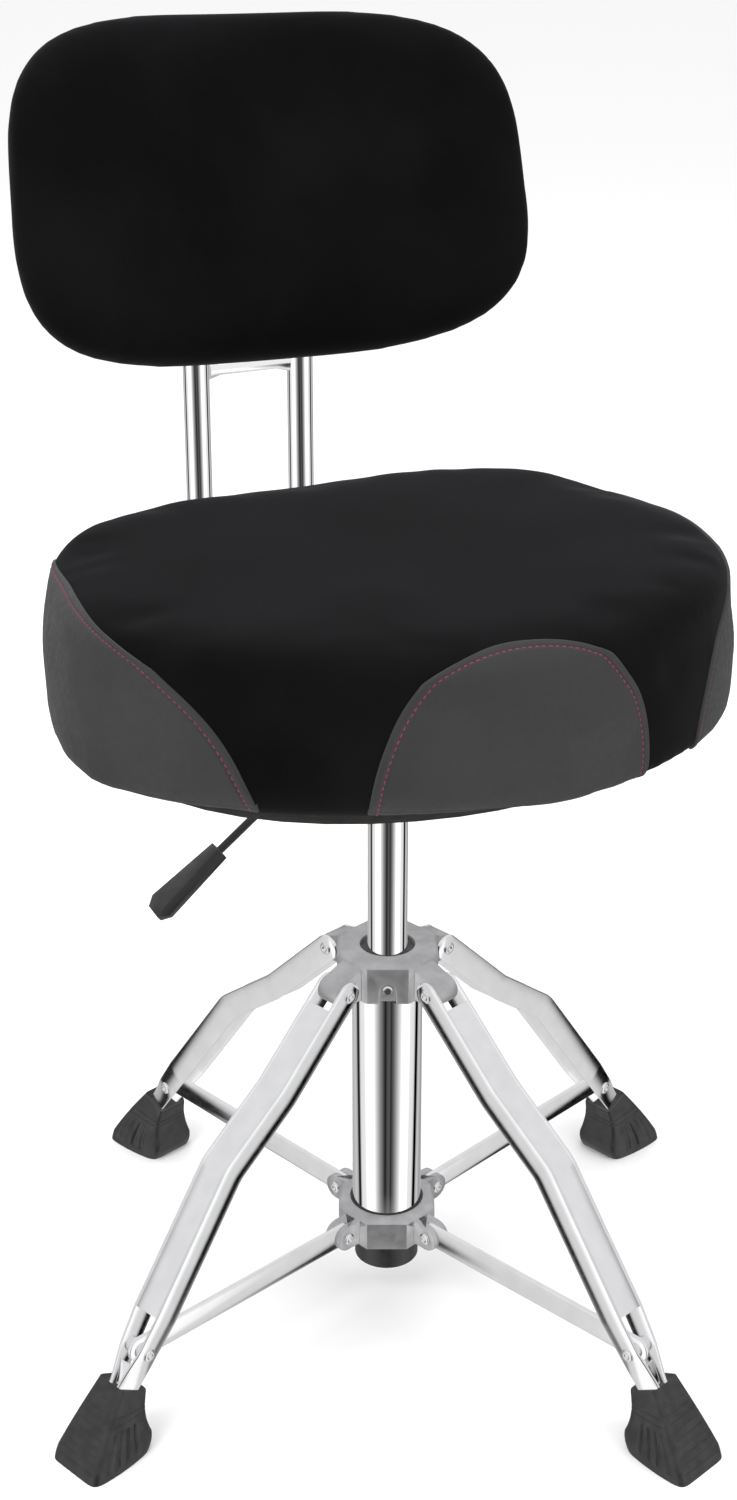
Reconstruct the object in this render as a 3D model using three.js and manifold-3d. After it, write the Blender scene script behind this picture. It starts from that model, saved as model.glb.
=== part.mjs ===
// Drum throne: a padded seat and backrest on a gas-lift column with four folding legs.
// Millimetres, +Z up. The origin is on the floor, under the column's axis.

import * as THREE from 'three';
import { ConvexGeometry } from 'three/addons/geometries/ConvexGeometry.js';
import { mergeVertices } from 'three/addons/utils/BufferGeometryUtils.js';
import Module from 'manifold-3d';

const wasm = await Module();
wasm.setup();

// ---------------------------------------------------------------- driving dimensions

const GAP = 0.3;        // between two pieces that touch
const PLAY = 0.5;       // between two pieces that move past each other
const SINK = 0.5;       // how far one solid of a piece runs into the next
const PAST = 1;         // how far a cutter runs past the face that it cuts
const SIDES = { large: 32, medium: 24, small: 16, tiny: 12 };   // of round pieces, by their size

const column = { radius: 25, wall: 3 };

const hub = { top: 287.6, height: 29.4, wall: 10.4, lip: 5.6, mouth: 19.5, bevel: 2 };
const lug = { halfWidth: 9.7, radius: 9.5, drop: 18.6, reach: 14.2 };
const recess = { halfWidth: 5.6, depth: 4, centreUp: 9.4 };
const hubScrew = { radius: 2, headRadius: 3.4, head: 2.2 };

const collar = { top: 77.6, height: 24, wall: 10, bevel: 2.6, recess: 4, recessWall: 2 };
const ear = { thickness: 5, radius: 9.5, drop: 12.6, reach: 11.5 };
const liner = { wall: 1.2, endGap: 1 };

const bush = { length: 62, topBelow: 2.2 };
const cap = { inset: 1.7, drop: 25.6, edge: 3, floor: 5, flange: 2.7, plug: 17, plugWall: 2.7 };
const bearing = { race: 2.5, ball: 4, innerRadius: 9, outerRadius: 15 };

const gas = { radius: 14, wall: 3, stem: 5, guide: 6, drop: 85, rise: 35, piston: 8, proud: 4.5 };
const clip = { height: 2, width: 3.2, down: 3, stemBelow: 6 };
const taper = { length: 33, inset: 0.8 };
const valve = { radius: 4.2, tipRadius: 3, tip: 2, depth: 8, travel: 4 };

const leg = { rivetRadius: 237.8, rivetHeight: 69, width: 24, depth: 19.5 };
const sheet = { wall: 2, bendRadius: 32, webStart: 16, webEnd: 25, webIn: 1, flareStart: 26 };
const legTail = { length: 45, width: 15, depth: 15 };
const legBends = [{ along: 0.294, out: 4.1 }, { along: 0.52, out: 15.6 }];

const brace = { thickness: 3.4, height: 17.5 };
const rivet = { radius: 3, headRadius: 4.8, head: 1.8, collarRadius: 5.5 };
const pin = { radius: 2.6, headRadius: 4.3, head: 1.6 };
const rivetSpread = { hole: 2, head: 0.2 };

const foot = { toe: 61.5, heel: 2, toeWidth: 48, heelWidth: 40, sole: 4, heelHeight: 12 };
const footEdge = { toe: 1, heel: 7, bottomIn: 3, middleIn: 6, topIn: 8, topBack: 1 };
const boot = { entry: 22, outerEntry: 26.5, width: 26, depth: 22 };
const instep = { radius: 38, height: 31, bite: 1.5 };
const tread = { count: 6, first: 13, pitch: 7, width: 2.4, depth: 2 };

const seat = { top: 577, thickness: 106.4, halfWidth: 226, front: 215, rear: 161, shift: 17 };
const seatShape = { frontPower: 1.9, rearPower: 3.4, taper: 0.00085, topRound: 24, bottomRound: 6 };
const seatYaw = THREE.MathUtils.degToRad(24);
const board = { thickness: 10, inset: 34 };

const plate = { halfX: 80, halfY: 65, thickness: 2.5, boxX: 35, boxY: 30, boxDepth: 23.5, wall: 2.5 };
const sleeve = { length: 26, wall: 4.5 };
const bolt = { x: 62, y: 50, radius: 3, headRadius: 6.5, head: 5, grip: 7 };

const lever = { rise: 16, radius: 2.75, inner: 5, kink: 40, reach: 170, fall: 103 };
const paddle = { length: 60, rootWidth: 15, tipWidth: 29, thickness: 10, cover: 12, tipRound: 7 };
const paddleFace = { root: 0.7, tip: 0.75, end: 0.6, endThickness: 0.4 };

const tube = { radius: 9.5, wall: 1.5, halfSpan: 40.5, below: 13.3, start: 70, behind: 70, bend: 45 };
const mast = { kinkUp: 91, aboveCentre: 62, turn: 14 };
const clamp = { halfWidth: 58, from: 95, to: 135, cover: 3 };
const crossbar = { up: 63.5, radius: 3.5, endRadius: 6, cone: 8 };

const pad = { halfWidth: 182, halfHeight: 124, thickness: 50, power: 3.3, narrowing: 0.035, bow: 48 };
const padCentreUp = 194;
const padTilt = THREE.MathUtils.degToRad(15);
const padBoard = { thickness: 8, inset: 14 };
const screw = { radius: 2.5, headRadius: 5, head: 3, down: 20, grip: 6 };

// ---------------------------------------------------------------- places that follow

const hubFlat = column.radius + hub.wall;
const hubBottom = hub.top - hub.height;
const legPivot = new THREE.Vector2(hubFlat + lug.reach, hub.top - lug.drop);
const legRivet = new THREE.Vector2(leg.rivetRadius, leg.rivetHeight);
const collarFlat = column.radius + collar.wall;
const collarBottom = collar.top - collar.height;
const collarBore = column.radius + GAP + liner.wall + GAP;
const bracePivot = new THREE.Vector2(collarFlat + ear.reach, collar.top - ear.drop);
const boreTop = hub.top - hub.lip;
const columnInner = column.radius - column.wall;
const columnTop = boreTop - GAP;
const columnBottom = collarBottom + collar.recess - PLAY;
const plugTop = columnBottom + cap.plug;
const lowerRaceTop = plugTop + GAP + bearing.race;
const cageTop = lowerRaceTop + GAP + bearing.ball;
const upperRaceTop = cageTop + GAP + bearing.race;
const gasBottom = upperRaceTop + gas.drop + 2 * PLAY;
const gasBore = gas.radius - gas.wall;
const pistonTop = gasBottom + gas.guide + gas.rise + gas.piston + 2 * PLAY;
const gasBoreTop = pistonTop + gas.drop + 2 * PLAY;
const seatBottom = seat.top - seat.thickness;
const boardBottom = seatBottom - GAP - board.thickness;
const plateTop = boardBottom - GAP;
const boxBottom = plateTop - plate.thickness - plate.boxDepth;
const gasTop = boxBottom + plate.wall + gas.proud;
const sleeveBottom = boxBottom - sleeve.length;
const leverHeight = boxBottom + lever.rise;
const tubeHeight = plateTop - tube.below;
const tubeBack = seat.rear + seat.shift + tube.behind;
const kinkHeight = seat.top + mast.kinkUp;
const rivetHole = rivet.radius + GAP;

// ---------------------------------------------------------------- solids and meshes

function toSolid(geometry) {
  const bare = geometry.index ? geometry.toNonIndexed() : geometry.clone();
  bare.deleteAttribute('normal');
  bare.deleteAttribute('uv');
  const merged = mergeVertices(bare, 1e-4);
  const corners = merged.index.array;
  const triVerts = [];
  for (let i = 0; i < corners.length; i += 3) {
    const [a, b, c] = corners.slice(i, i + 3);
    if (a !== b && b !== c && c !== a) triVerts.push(a, b, c);
  }
  const vertProperties = new Float32Array(merged.attributes.position.array);
  const build = (order) => new wasm.Manifold(
    new wasm.Mesh({ numProp: 3, vertProperties, triVerts: new Uint32Array(order) }),
  );
  return signedVolume(vertProperties, triVerts) > 0 ? build(triVerts) : build(triVerts.reverse());
}

function signedVolume(points, corners) {
  const at = (i) => new THREE.Vector3().fromArray(points, corners[i] * 3);
  let volume = 0;
  for (let i = 0; i < corners.length; i += 3) {
    volume += at(i).dot(at(i + 1).cross(at(i + 2))) / 6;
  }
  return volume;
}

function toGeometry(solid) {
  const { numProp, vertProperties, triVerts } = solid.getMesh();
  const count = vertProperties.length / numProp;
  const positions = new Float32Array(count * 3);
  for (let i = 0; i < count; i++) {
    positions.set(vertProperties.subarray(i * numProp, i * numProp + 3), i * 3);
  }
  const geometry = new THREE.BufferGeometry();
  geometry.setAttribute('position', new THREE.BufferAttribute(positions, 3));
  geometry.setIndex(new THREE.BufferAttribute(new Uint32Array(triVerts), 1));
  geometry.computeVertexNormals();
  return geometry;
}

const finishes = {
  chrome: { color: 0xe6e7ea, roughness: 0.07, metalness: 1 },
  steel: { color: 0xd4d5d8, roughness: 0.25, metalness: 1 },
  casting: { color: 0x9a9b9d, roughness: 0.45, metalness: 0.9 },
  rubber: { color: 0x2a2a2b, roughness: 0.8, metalness: 0 },
  plastic: { color: 0x18181a, roughness: 0.5, metalness: 0 },
  plywood: { color: 0x8f7148, roughness: 0.8, metalness: 0 },
  velour: { color: 0x0b0b0c, roughness: 0.95, metalness: 0 },
};

function piece(name, finish, solid) {
  const mesh = new THREE.Mesh(toGeometry(solid), new THREE.MeshStandardMaterial(finishes[finish]));
  mesh.name = name;
  return mesh;
}

const join = (...solids) => solids.reduce((all, next) => all.add(next));
const cut = (solid, ...tools) => tools.reduce((rest, tool) => rest.subtract(tool), solid);

// A turned part about the Z axis. A profile that isn't on the axis closes on itself.
function turned(profile, segments = SIDES.large) {
  const points = profile.map(([r, z]) => new THREE.Vector2(r, z));
  if (points[0].x > 0) points.push(points[0].clone());
  return toSolid(new THREE.LatheGeometry(points, segments).rotateX(Math.PI / 2));
}

function ring(inner, outer, bottom, top, segments = SIDES.large) {
  return turned([[inner, bottom], [outer, bottom], [outer, top], [inner, top]], segments);
}

function rod(radius, bottom, top, segments = SIDES.large) {
  return turned([[0, bottom], [radius, bottom], [radius, top], [0, top]], segments);
}

function block(x0, x1, y0, y1, z0, z1) {
  const box = new THREE.BoxGeometry(x1 - x0, y1 - y0, z1 - z0);
  return toSolid(box.translate((x0 + x1) / 2, (y0 + y1) / 2, (z0 + z1) / 2));
}

function hull(points) {
  return toSolid(new ConvexGeometry(points.map((p) => new THREE.Vector3(...p))));
}

// An outline in the X-Z plane, as thick as it is from y0 to y1.
function slab(points, y0, y1) {
  const shape = new THREE.Shape(points.map(([x, z]) => new THREE.Vector2(x, z)));
  const geometry = new THREE.ExtrudeGeometry(shape, { depth: y1 - y0, bevelEnabled: false });
  return toSolid(geometry.rotateX(Math.PI / 2).translate(0, y1, 0));
}

// A round bar or hole across the X-Z plane.
function crossRod(radius, [x, z], y0, y1, segments = SIDES.tiny) {
  const geometry = new THREE.CylinderGeometry(radius, radius, y1 - y0, segments);
  return toSolid(geometry.translate(x, (y0 + y1) / 2, z));
}

function octagon(apothem, bottom, top, bottomBevel, topBevel) {
  const corner = (radius, z) => Array.from({ length: 8 }, (_, i) => {
    const angle = (i + 0.5) * Math.PI / 4;
    const reach = radius / Math.cos(Math.PI / 8);
    return [reach * Math.cos(angle), reach * Math.sin(angle), z];
  });
  return hull([
    ...corner(apothem - bottomBevel, bottom),
    ...corner(apothem, bottom + bottomBevel),
    ...corner(apothem, top - topBevel),
    ...corner(apothem - topBevel, top),
  ]);
}

function aboutColumn(solid, count = 4) {
  const geometry = toGeometry(solid);
  const turns = Array.from({ length: count }, (_, i) => Math.PI / 4 + i * 2 * Math.PI / count);
  return join(...turns.map((angle) => toSolid(geometry.clone().rotateZ(angle))));
}

// ---------------------------------------------------------------- column and hubs

function columnTube() {
  return ring(columnInner, column.radius, columnBottom, columnTop);
}

function upperHub() {
  const { halfWidth, radius } = lug;
  const [x, z] = legPivot;
  const inside = column.radius + hub.wall / 2;
  const arm = slab(
    [[inside, z - radius], [x, z - radius], [x, z + radius], [inside, hub.top - hub.bevel]],
    -halfWidth,
    halfWidth,
  );
  const knuckle = crossRod(radius, [x, z], -halfWidth, halfWidth, SIDES.small);
  const hole = crossRod(rivetHole, [x, z], -halfWidth - PAST, halfWidth + PAST);
  const lugs = aboutColumn(cut(join(arm, knuckle), hole));
  const body = octagon(hubFlat, hubBottom, hub.top, 0, hub.bevel);
  const bore = rod(column.radius + GAP, hubBottom - PAST, boreTop);
  const mouth = rod(hub.mouth, boreTop - PAST, hub.top + PAST);
  const back = recess.depth - hubFlat;
  const slot = block(-recess.halfWidth, recess.halfWidth, -2 * hubFlat, back, hubBottom - PAST, archCentre);
  const arch = crossRod(recess.halfWidth, [0, archCentre], -2 * hubFlat, back, SIDES.medium);
  const screwHole = crossRod(hubScrew.radius + GAP, [0, archCentre], back - PAST, 0);
  return cut(join(body, lugs), bore, mouth, slot, arch, screwHole);
}

const archCentre = hubBottom + recess.centreUp;

function clampScrew() {
  const underHead = recess.depth - hubFlat - GAP;
  const at = [0, archCentre];
  return join(
    crossRod(hubScrew.headRadius, at, underHead - hubScrew.head, underHead),
    crossRod(hubScrew.radius, at, underHead - SINK, -column.radius - GAP),
  );
}

function guideBush() {
  const top = columnTop - bush.topBelow;
  return ring(gas.radius + PLAY, columnInner - GAP, top - bush.length, top);
}

function lowerHub() {
  const [x, z] = bracePivot;
  const gapHalf = brace.thickness / 2 + PLAY;
  const outer = gapHalf + ear.thickness;
  const inside = column.radius + collar.wall / 2;
  const arm = [[inside, z - ear.radius], [x, z - ear.radius], [x, z + ear.radius], [inside, z + ear.radius]];
  const ears = join(slab(arm, -outer, outer), crossRod(ear.radius, [x, z], -outer, outer, SIDES.small));
  const slot = block(collarFlat + PLAY, x + 2 * ear.radius, -gapHalf, gapHalf, collarBottom, collar.top);
  const hole = crossRod(pin.radius + GAP, [x, z], -outer - PAST, outer + PAST);
  const clevises = aboutColumn(cut(ears, slot, hole));
  const body = octagon(collarFlat, collarBottom, collar.top, 0, collar.bevel);
  const bore = rod(collarBore, collarBottom - PAST, collar.top + PAST);
  const under = rod(collarBore + collar.recessWall, collarBottom - PAST, collarBottom + collar.recess);
  return cut(join(body, clevises), bore, under);
}

function collarLiner() {
  const inner = column.radius + GAP;
  const bottom = collarBottom + collar.recess + GAP;
  return ring(inner, inner + liner.wall, bottom, collar.top - liner.endGap);
}

function endCap() {
  const bottom = collarBottom - cap.drop;
  const flangeTop = columnBottom - GAP;
  const flangeRadius = collarBore + collar.recessWall - PLAY;
  const radius = column.radius - cap.inset;
  const plug = columnInner - GAP;
  const edge = [0, 1, 2].map((i) => {
    const angle = i * Math.PI / 4;
    return [
      radius - cap.edge * (1 - Math.sin(angle)),
      bottom + cap.edge * (1 - Math.cos(angle)),
    ];
  });
  return turned([
    [0, bottom], ...edge,
    [radius, flangeTop - cap.flange], [flangeRadius, flangeTop - cap.flange],
    [flangeRadius, flangeTop], [plug, flangeTop], [plug, plugTop],
    [plug - cap.plugWall, plugTop], [plug - cap.plugWall, bottom + cap.floor], [0, bottom + cap.floor],
  ]);
}

// ---------------------------------------------------------------- swivel bearing and gas lift

function lowerRace() {
  return ring(gas.stem + PLAY, columnInner - PLAY, plugTop + GAP, lowerRaceTop, SIDES.medium);
}

function ballCage() {
  return ring(bearing.innerRadius, bearing.outerRadius, lowerRaceTop + GAP, cageTop, SIDES.medium);
}

function upperRace() {
  return ring(gas.stem + GAP, bearing.outerRadius + 1, cageTop + GAP, upperRaceTop, SIDES.medium);
}

function pistonRod() {
  const clipBottom = plugTop - clip.down;
  const end = clipBottom - clip.stemBelow;
  const pistonBottom = pistonTop - gas.piston;
  const pistonRadius = gasBore - PLAY;
  return turned([
    [0, end], [gas.stem, end], [gas.stem, pistonBottom], [pistonRadius, pistonBottom],
    [pistonRadius, pistonTop], [0, pistonTop],
  ], SIDES.small);
}

function rodClip() {
  const inner = gas.stem + GAP;
  const bottom = plugTop - clip.down;
  return ring(inner, inner + clip.width, bottom, bottom + clip.height, SIDES.small);
}

function gasCylinder() {
  const valveFloor = gasTop - valve.depth;
  const valveBore = valve.radius + GAP;
  return turned([
    [0, gasBoreTop], [gasBore, gasBoreTop], [gasBore, gasBottom + gas.guide],
    [gas.stem + GAP, gasBottom + gas.guide], [gas.stem + GAP, gasBottom], [gas.radius, gasBottom],
    [gas.radius, gasTop - taper.length], [gas.radius - taper.inset, gasTop], [valveBore, gasTop],
    [valveBore, valveFloor], [0, valveFloor],
  ], SIDES.medium);
}

function valveButton() {
  const bottom = gasTop - valve.depth + valve.travel + PLAY;
  const top = leverHeight - lever.radius - GAP;
  const shoulder = top - valve.tip;
  return turned([
    [0, bottom], [valve.radius, bottom], [valve.radius, shoulder], [valve.tipRadius, top], [0, top],
  ], SIDES.small);
}

// ---------------------------------------------------------------- legs and braces

// A path through corner points, each corner rounded off.
function roundedPath(corners, radius) {
  const path = new THREE.Path().moveTo(corners[0].x, corners[0].y);
  for (let i = 1; i < corners.length - 1; i++) {
    const into = corners[i].clone().sub(corners[i - 1]).normalize();
    const out = corners[i + 1].clone().sub(corners[i]).normalize();
    const turn = Math.acos(THREE.MathUtils.clamp(into.dot(out), -1, 1));
    const trim = radius * Math.tan(turn / 2);
    const start = corners[i].clone().addScaledVector(into, -trim);
    const end = corners[i].clone().addScaledVector(out, trim);
    path.lineTo(start.x, start.y);
    path.quadraticCurveTo(corners[i].x, corners[i].y, end.x, end.y);
  }
  const last = corners[corners.length - 1];
  path.lineTo(last.x, last.y);
  return path.getPoints(3);
}

// The stretch of a polyline between two distances along it.
function stretch(points, from, to) {
  const kept = [];
  let walked = 0;
  for (let i = 1; i < points.length; i++) {
    const length = points[i].distanceTo(points[i - 1]);
    const at = (s) => points[i - 1].clone().lerp(points[i], (s - walked) / length);
    if (kept.length === 0 && from < walked + length) kept.push(at(from));
    if (kept.length > 0 && to <= walked + length) return [...kept, at(to)];
    if (kept.length > 0) kept.push(points[i].clone());
    walked += length;
  }
  return kept;
}

// A line beside a polyline, at a distance to its left.
function beside(points, distance) {
  return points.map((point, i) => {
    const before = points[Math.max(i - 1, 0)];
    const after = points[Math.min(i + 1, points.length - 1)];
    const along = after.clone().sub(before).normalize();
    return [point.x - along.y * distance, point.y + along.x * distance];
  });
}

const chord = legRivet.clone().sub(legPivot);
const bulge = new THREE.Vector2(-chord.y, chord.x).normalize();
const bendPoints = legBends.map(({ along, out }) => (
  legPivot.clone().addScaledVector(chord, along).addScaledVector(bulge, out)
));
const legDown = legRivet.clone().sub(bendPoints[bendPoints.length - 1]).normalize();
const legOut = new THREE.Vector2(-legDown.y, legDown.x);
const legPath = roundedPath([legPivot, ...bendPoints, legRivet], sheet.bendRadius);
const legLength = legPath.slice(1).reduce((sum, p, i) => sum + p.distanceTo(legPath[i]), 0);

// A point on the lower, straight part of the leg: along it from the brace rivet, and outwards.
const onLeg = (along, out) => legRivet.clone().addScaledVector(legDown, along).addScaledVector(legOut, out);

// How wide and deep the channel is at a distance along from the brace rivet.
function channelAt(along) {
  const share = (along + sheet.flareStart) / (legTail.length + sheet.flareStart);
  const blend = THREE.MathUtils.clamp(share, 0, 1);
  return {
    halfWidth: THREE.MathUtils.lerp(leg.width, legTail.width, blend) / 2,
    halfDepth: THREE.MathUtils.lerp(leg.depth, legTail.depth, blend) / 2,
  };
}

// The eight corners of a stretch of the tapered end, between two faces across the leg.
function taperCorners(from, to, faces) {
  return [from, to].flatMap((along) => {
    const { halfWidth, halfDepth } = channelAt(along);
    return faces(halfWidth).flatMap((y) => [-halfDepth, halfDepth].map((out) => {
      const point = onLeg(along, out);
      return [point.x, y, point.y];
    }));
  });
}

function legChannel() {
  const half = leg.width / 2;
  const deep = leg.depth / 2;
  const straight = stretch(legPath, 0, legLength - sheet.flareStart);
  const side = [...beside(straight, deep), ...beside(straight, -deep).reverse()];
  const webLine = stretch(legPath, sheet.webStart, legLength - sheet.webEnd);
  const webFace = deep - sheet.webIn;
  const web = slab(
    [...beside(webLine, webFace), ...beside(webLine, webFace - sheet.wall).reverse()],
    -half + sheet.wall / 2,
    half - sheet.wall / 2,
  );
  const flanges = [-1, 1].map((hand) => {
    const faces = (width) => [hand * (width - sheet.wall), hand * width];
    const [y0, y1] = faces(half).sort((a, b) => a - b);
    const eye = crossRod(deep, legPivot.toArray(), y0, y1, SIDES.small);
    const tail = hull(taperCorners(-sheet.flareStart - SINK, legTail.length, faces));
    return join(slab(side, y0, y1), eye, tail);
  });
  const hubHole = crossRod(rivetHole, legPivot.toArray(), -half - PAST, half + PAST);
  const braceHole = crossRod(rivetHole, legRivet.toArray(), -half - PAST, half + PAST);
  return cut(join(web, ...flanges), hubHole, braceHole);
}

function hubRivet() {
  const face = leg.width / 2 + GAP;
  const at = legPivot.toArray();
  return join(
    crossRod(rivet.radius, at, -face - SINK, face + SINK),
    crossRod(rivet.headRadius, at, -face - rivet.head, -face),
    crossRod(rivet.headRadius, at, face, face + rivet.head),
  );
}

// Half of the brace rivet: it stops short of the brace, which turns between the two halves.
function braceRivet(hand) {
  const at = legRivet.toArray();
  const reach = rivetHole + rivetSpread.hole;
  const face = channelAt(-reach).halfWidth + GAP;
  const inner = channelAt(rivet.collarRadius).halfWidth - sheet.wall - GAP;
  const start = brace.thickness / 2 + PLAY;
  const across = (radius, from, to) => (
    hand > 0 ? crossRod(radius, at, from, to) : crossRod(radius, at, -to, -from)
  );
  return join(
    across(rivet.collarRadius, start, inner),
    across(rivet.radius, inner - SINK, face + SINK),
    across(rivet.headRadius, face + rivetSpread.head, face + rivet.head),
  );
}

function braceBar() {
  const half = brace.thickness / 2;
  const deep = brace.height / 2;
  const line = [bracePivot, legRivet];
  const bar = slab([...beside(line, deep), ...beside(line, -deep).reverse()], -half, half);
  const ends = line.map((point) => crossRod(deep, point.toArray(), -half, half, SIDES.small));
  const hole = crossRod(pin.radius + GAP, bracePivot.toArray(), -half - PAST, half + PAST);
  return cut(join(bar, ...ends), hole);
}

function bracePin() {
  const face = brace.thickness / 2 + PLAY + ear.thickness + GAP;
  const at = bracePivot.toArray();
  return join(
    crossRod(pin.radius, at, -face - SINK, face + SINK),
    crossRod(pin.headRadius, at, -face - pin.head, -face),
    crossRod(pin.headRadius, at, face, face + pin.head),
  );
}

// The foot's mouth, which slopes down outwards to let the end of the brace swing past.
const innerLip = onLeg(boot.entry, -boot.depth / 2);
const outerLip = onLeg(boot.outerEntry, boot.depth / 2);

function rubberFoot() {
  const toe = legRivet.x + foot.toe;
  const heel = legRivet.x + foot.heel;
  const across = (x, width, z) => [[x, -width / 2, z], [x, width / 2, z]];
  const mouth = [innerLip, outerLip].flatMap(({ x, y }) => across(x, boot.width, y));
  const sides = hull([
    ...mouth,
    ...across(toe, foot.toeWidth, 0),
    ...across(toe - footEdge.toe, foot.toeWidth, foot.sole),
    ...across(heel + footEdge.heel, foot.heelWidth - footEdge.bottomIn, 0),
    ...across(heel, foot.heelWidth - footEdge.middleIn, foot.heelHeight / 2),
    ...across(heel + footEdge.topBack, foot.heelWidth - footEdge.topIn, foot.heelHeight),
  ]);
  const waist = crossRod(
    instep.radius,
    [innerLip.x - instep.radius + instep.bite, instep.height],
    -foot.toeWidth,
    foot.toeWidth,
    2 * SIDES.large,
  );
  const clear = (width) => [-width - GAP, width + GAP];
  const tail = taperCorners(boot.entry - boot.depth / 2, legTail.length + GAP, clear);
  const socket = hull(tail.map(([x, y, z]) => {
    const away = new THREE.Vector2(x, z).sub(onLeg(0, 0)).dot(legOut);
    const shift = Math.sign(away) * GAP;
    return [x + legOut.x * shift, y, z + legOut.y * shift];
  }));
  return cut(sides, waist, socket, ...treadGrooves(toe));
}

// Grooves across the sloping front of the foot.
function treadGrooves(toe) {
  const bottom = new THREE.Vector2(toe - footEdge.toe, foot.sole);
  const up = outerLip.clone().sub(bottom).normalize();
  const out = new THREE.Vector2(up.y, -up.x);
  return Array.from({ length: tread.count }, (_, i) => {
    const at = (along, away) => (
      bottom.clone().addScaledVector(up, along).addScaledVector(out, away)
    );
    const low = tread.first - tread.width + i * tread.pitch - foot.sole;
    const high = low + tread.width;
    const corners = [
      at(low, tread.width), at(high, tread.width), at(high, -tread.depth), at(low, -tread.depth),
    ];
    return slab(corners.map((p) => p.toArray()), -foot.toeWidth, foot.toeWidth);
  });
}

// ---------------------------------------------------------------- seat

// The seat's outline: broad and round in front, narrower and squarer behind.
function seatOutline(inset) {
  return Array.from({ length: 48 }, (_, i) => {
    const angle = i * Math.PI / 24;
    const [c, s] = [Math.cos(angle), Math.sin(angle)];
    const power = 2 / (s < 0 ? seatShape.frontPower : seatShape.rearPower);
    const depth = (s < 0 ? seat.front : seat.rear) - inset;
    const y = depth * Math.sign(s) * Math.abs(s) ** power;
    const x = (seat.halfWidth - inset) * Math.sign(c) * Math.abs(c) ** power;
    return new THREE.Vector2(x * (1 - seatShape.taper * y), y + seat.shift);
  });
}

function seatCushion() {
  const rim = (round, height) => [0, 1, 2, 3].flatMap((i) => {
    const angle = i * Math.PI / 6;
    const inset = round * (1 - Math.cos(angle));
    return seatOutline(inset).map(({ x, y }) => [x, y, height(round * (1 - Math.sin(angle)))]);
  });
  return hull([
    ...rim(seatShape.topRound, (down) => seat.top - down),
    ...rim(seatShape.bottomRound, (up) => seatBottom + up),
  ]);
}

function seatBoard() {
  const shape = new THREE.Shape(seatOutline(board.inset));
  const sheetOfPly = new THREE.ExtrudeGeometry(shape, { depth: board.thickness, bevelEnabled: false });
  const holes = [...boltPlaces(), [0, clampCentre]].map(([x, y]) => (
    shifted(rodGeometry(bolt.radius + GAP, -PAST, bolt.grip + PAST), x, y)
  ));
  return cut(toSolid(sheetOfPly.translate(0, 0, boardBottom)), ...holes);
}

const boltPlaces = () => [-1, 1].flatMap((sx) => [-1, 1].map((sy) => [sx * bolt.x, sy * bolt.y]));

// An upright bar whose ends are measured from the underside of the board.
function rodGeometry(radius, from, to, sides = SIDES.tiny) {
  const geometry = new THREE.CylinderGeometry(radius, radius, to - from, sides).rotateX(Math.PI / 2);
  return geometry.translate(0, 0, boardBottom + (from + to) / 2);
}

const shifted = (geometry, x, y) => toSolid(geometry.translate(x, y, 0));

function seatPlate() {
  const { halfX, halfY, thickness, boxX, boxY, boxDepth, wall } = plate;
  const flangeBottom = plateTop - thickness;
  const flange = block(-halfX, halfX, -halfY, halfY, flangeBottom, plateTop);
  const box = block(-boxX, boxX, -boxY, boxY, boxBottom, flangeBottom + SINK);
  const inside = block(
    -boxX + wall, boxX - wall, -boxY + wall, boxY - wall, boxBottom + wall, boxBottom + boxDepth,
  );
  const outer = rod(gas.radius + sleeve.wall + GAP, sleeveBottom, boxBottom + SINK, SIDES.medium);
  const bore = rod(gas.radius + GAP, sleeveBottom - PAST, boxBottom + wall + PAST, SIDES.medium);
  const leverHole = bar(
    new THREE.Vector3(-boxX - PAST, 0, leverHeight),
    new THREE.Vector3(-boxX + wall + PAST, 0, leverHeight),
    lever.radius + 2 * PLAY,
  );
  const boltHoles = boltPlaces().map(([x, y]) => shifted(
    rodGeometry(bolt.radius + GAP, -2 * GAP - thickness - PAST, PAST), x, y,
  ));
  return cut(join(flange, box, outer), inside, bore, leverHole, ...boltHoles);
}

function plateBolt([x, y]) {
  const underFlange = -GAP - plate.thickness - GAP;
  const shank = shifted(rodGeometry(bolt.radius, underFlange - SINK, bolt.grip), x, y);
  const head = shifted(rodGeometry(bolt.headRadius, underFlange - bolt.head, underFlange, 6), x, y);
  return join(head, shank);
}

// ---------------------------------------------------------------- lift lever

function leverRod() {
  const kink = new THREE.Vector3(-lever.kink, 0, leverHeight);
  const slope = leverTip().sub(kink).normalize();
  const end = leverTip().addScaledVector(slope, -(paddle.length - paddle.cover));
  const inside = bar(new THREE.Vector3(lever.inner, 0, leverHeight), kink, lever.radius);
  const outside = bar(kink, end, lever.radius);
  const elbow = toSolid(
    new THREE.SphereGeometry(lever.radius, SIDES.tiny, 6).translate(kink.x, kink.y, kink.z),
  );
  return join(inside, outside, elbow);
}

const leverTip = () => new THREE.Vector3(-lever.reach, 0, leverHeight - lever.fall);

// A round bar from one point to another.
function bar(from, to, radius, segments = SIDES.tiny) {
  const geometry = new THREE.CylinderGeometry(radius, radius, from.distanceTo(to), segments);
  const along = to.clone().sub(from).normalize();
  const turn = new THREE.Quaternion().setFromUnitVectors(new THREE.Vector3(0, 1, 0), along);
  const middle = from.clone().lerp(to, 0.5);
  return toSolid(geometry.applyQuaternion(turn).translate(middle.x, middle.y, middle.z));
}

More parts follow.
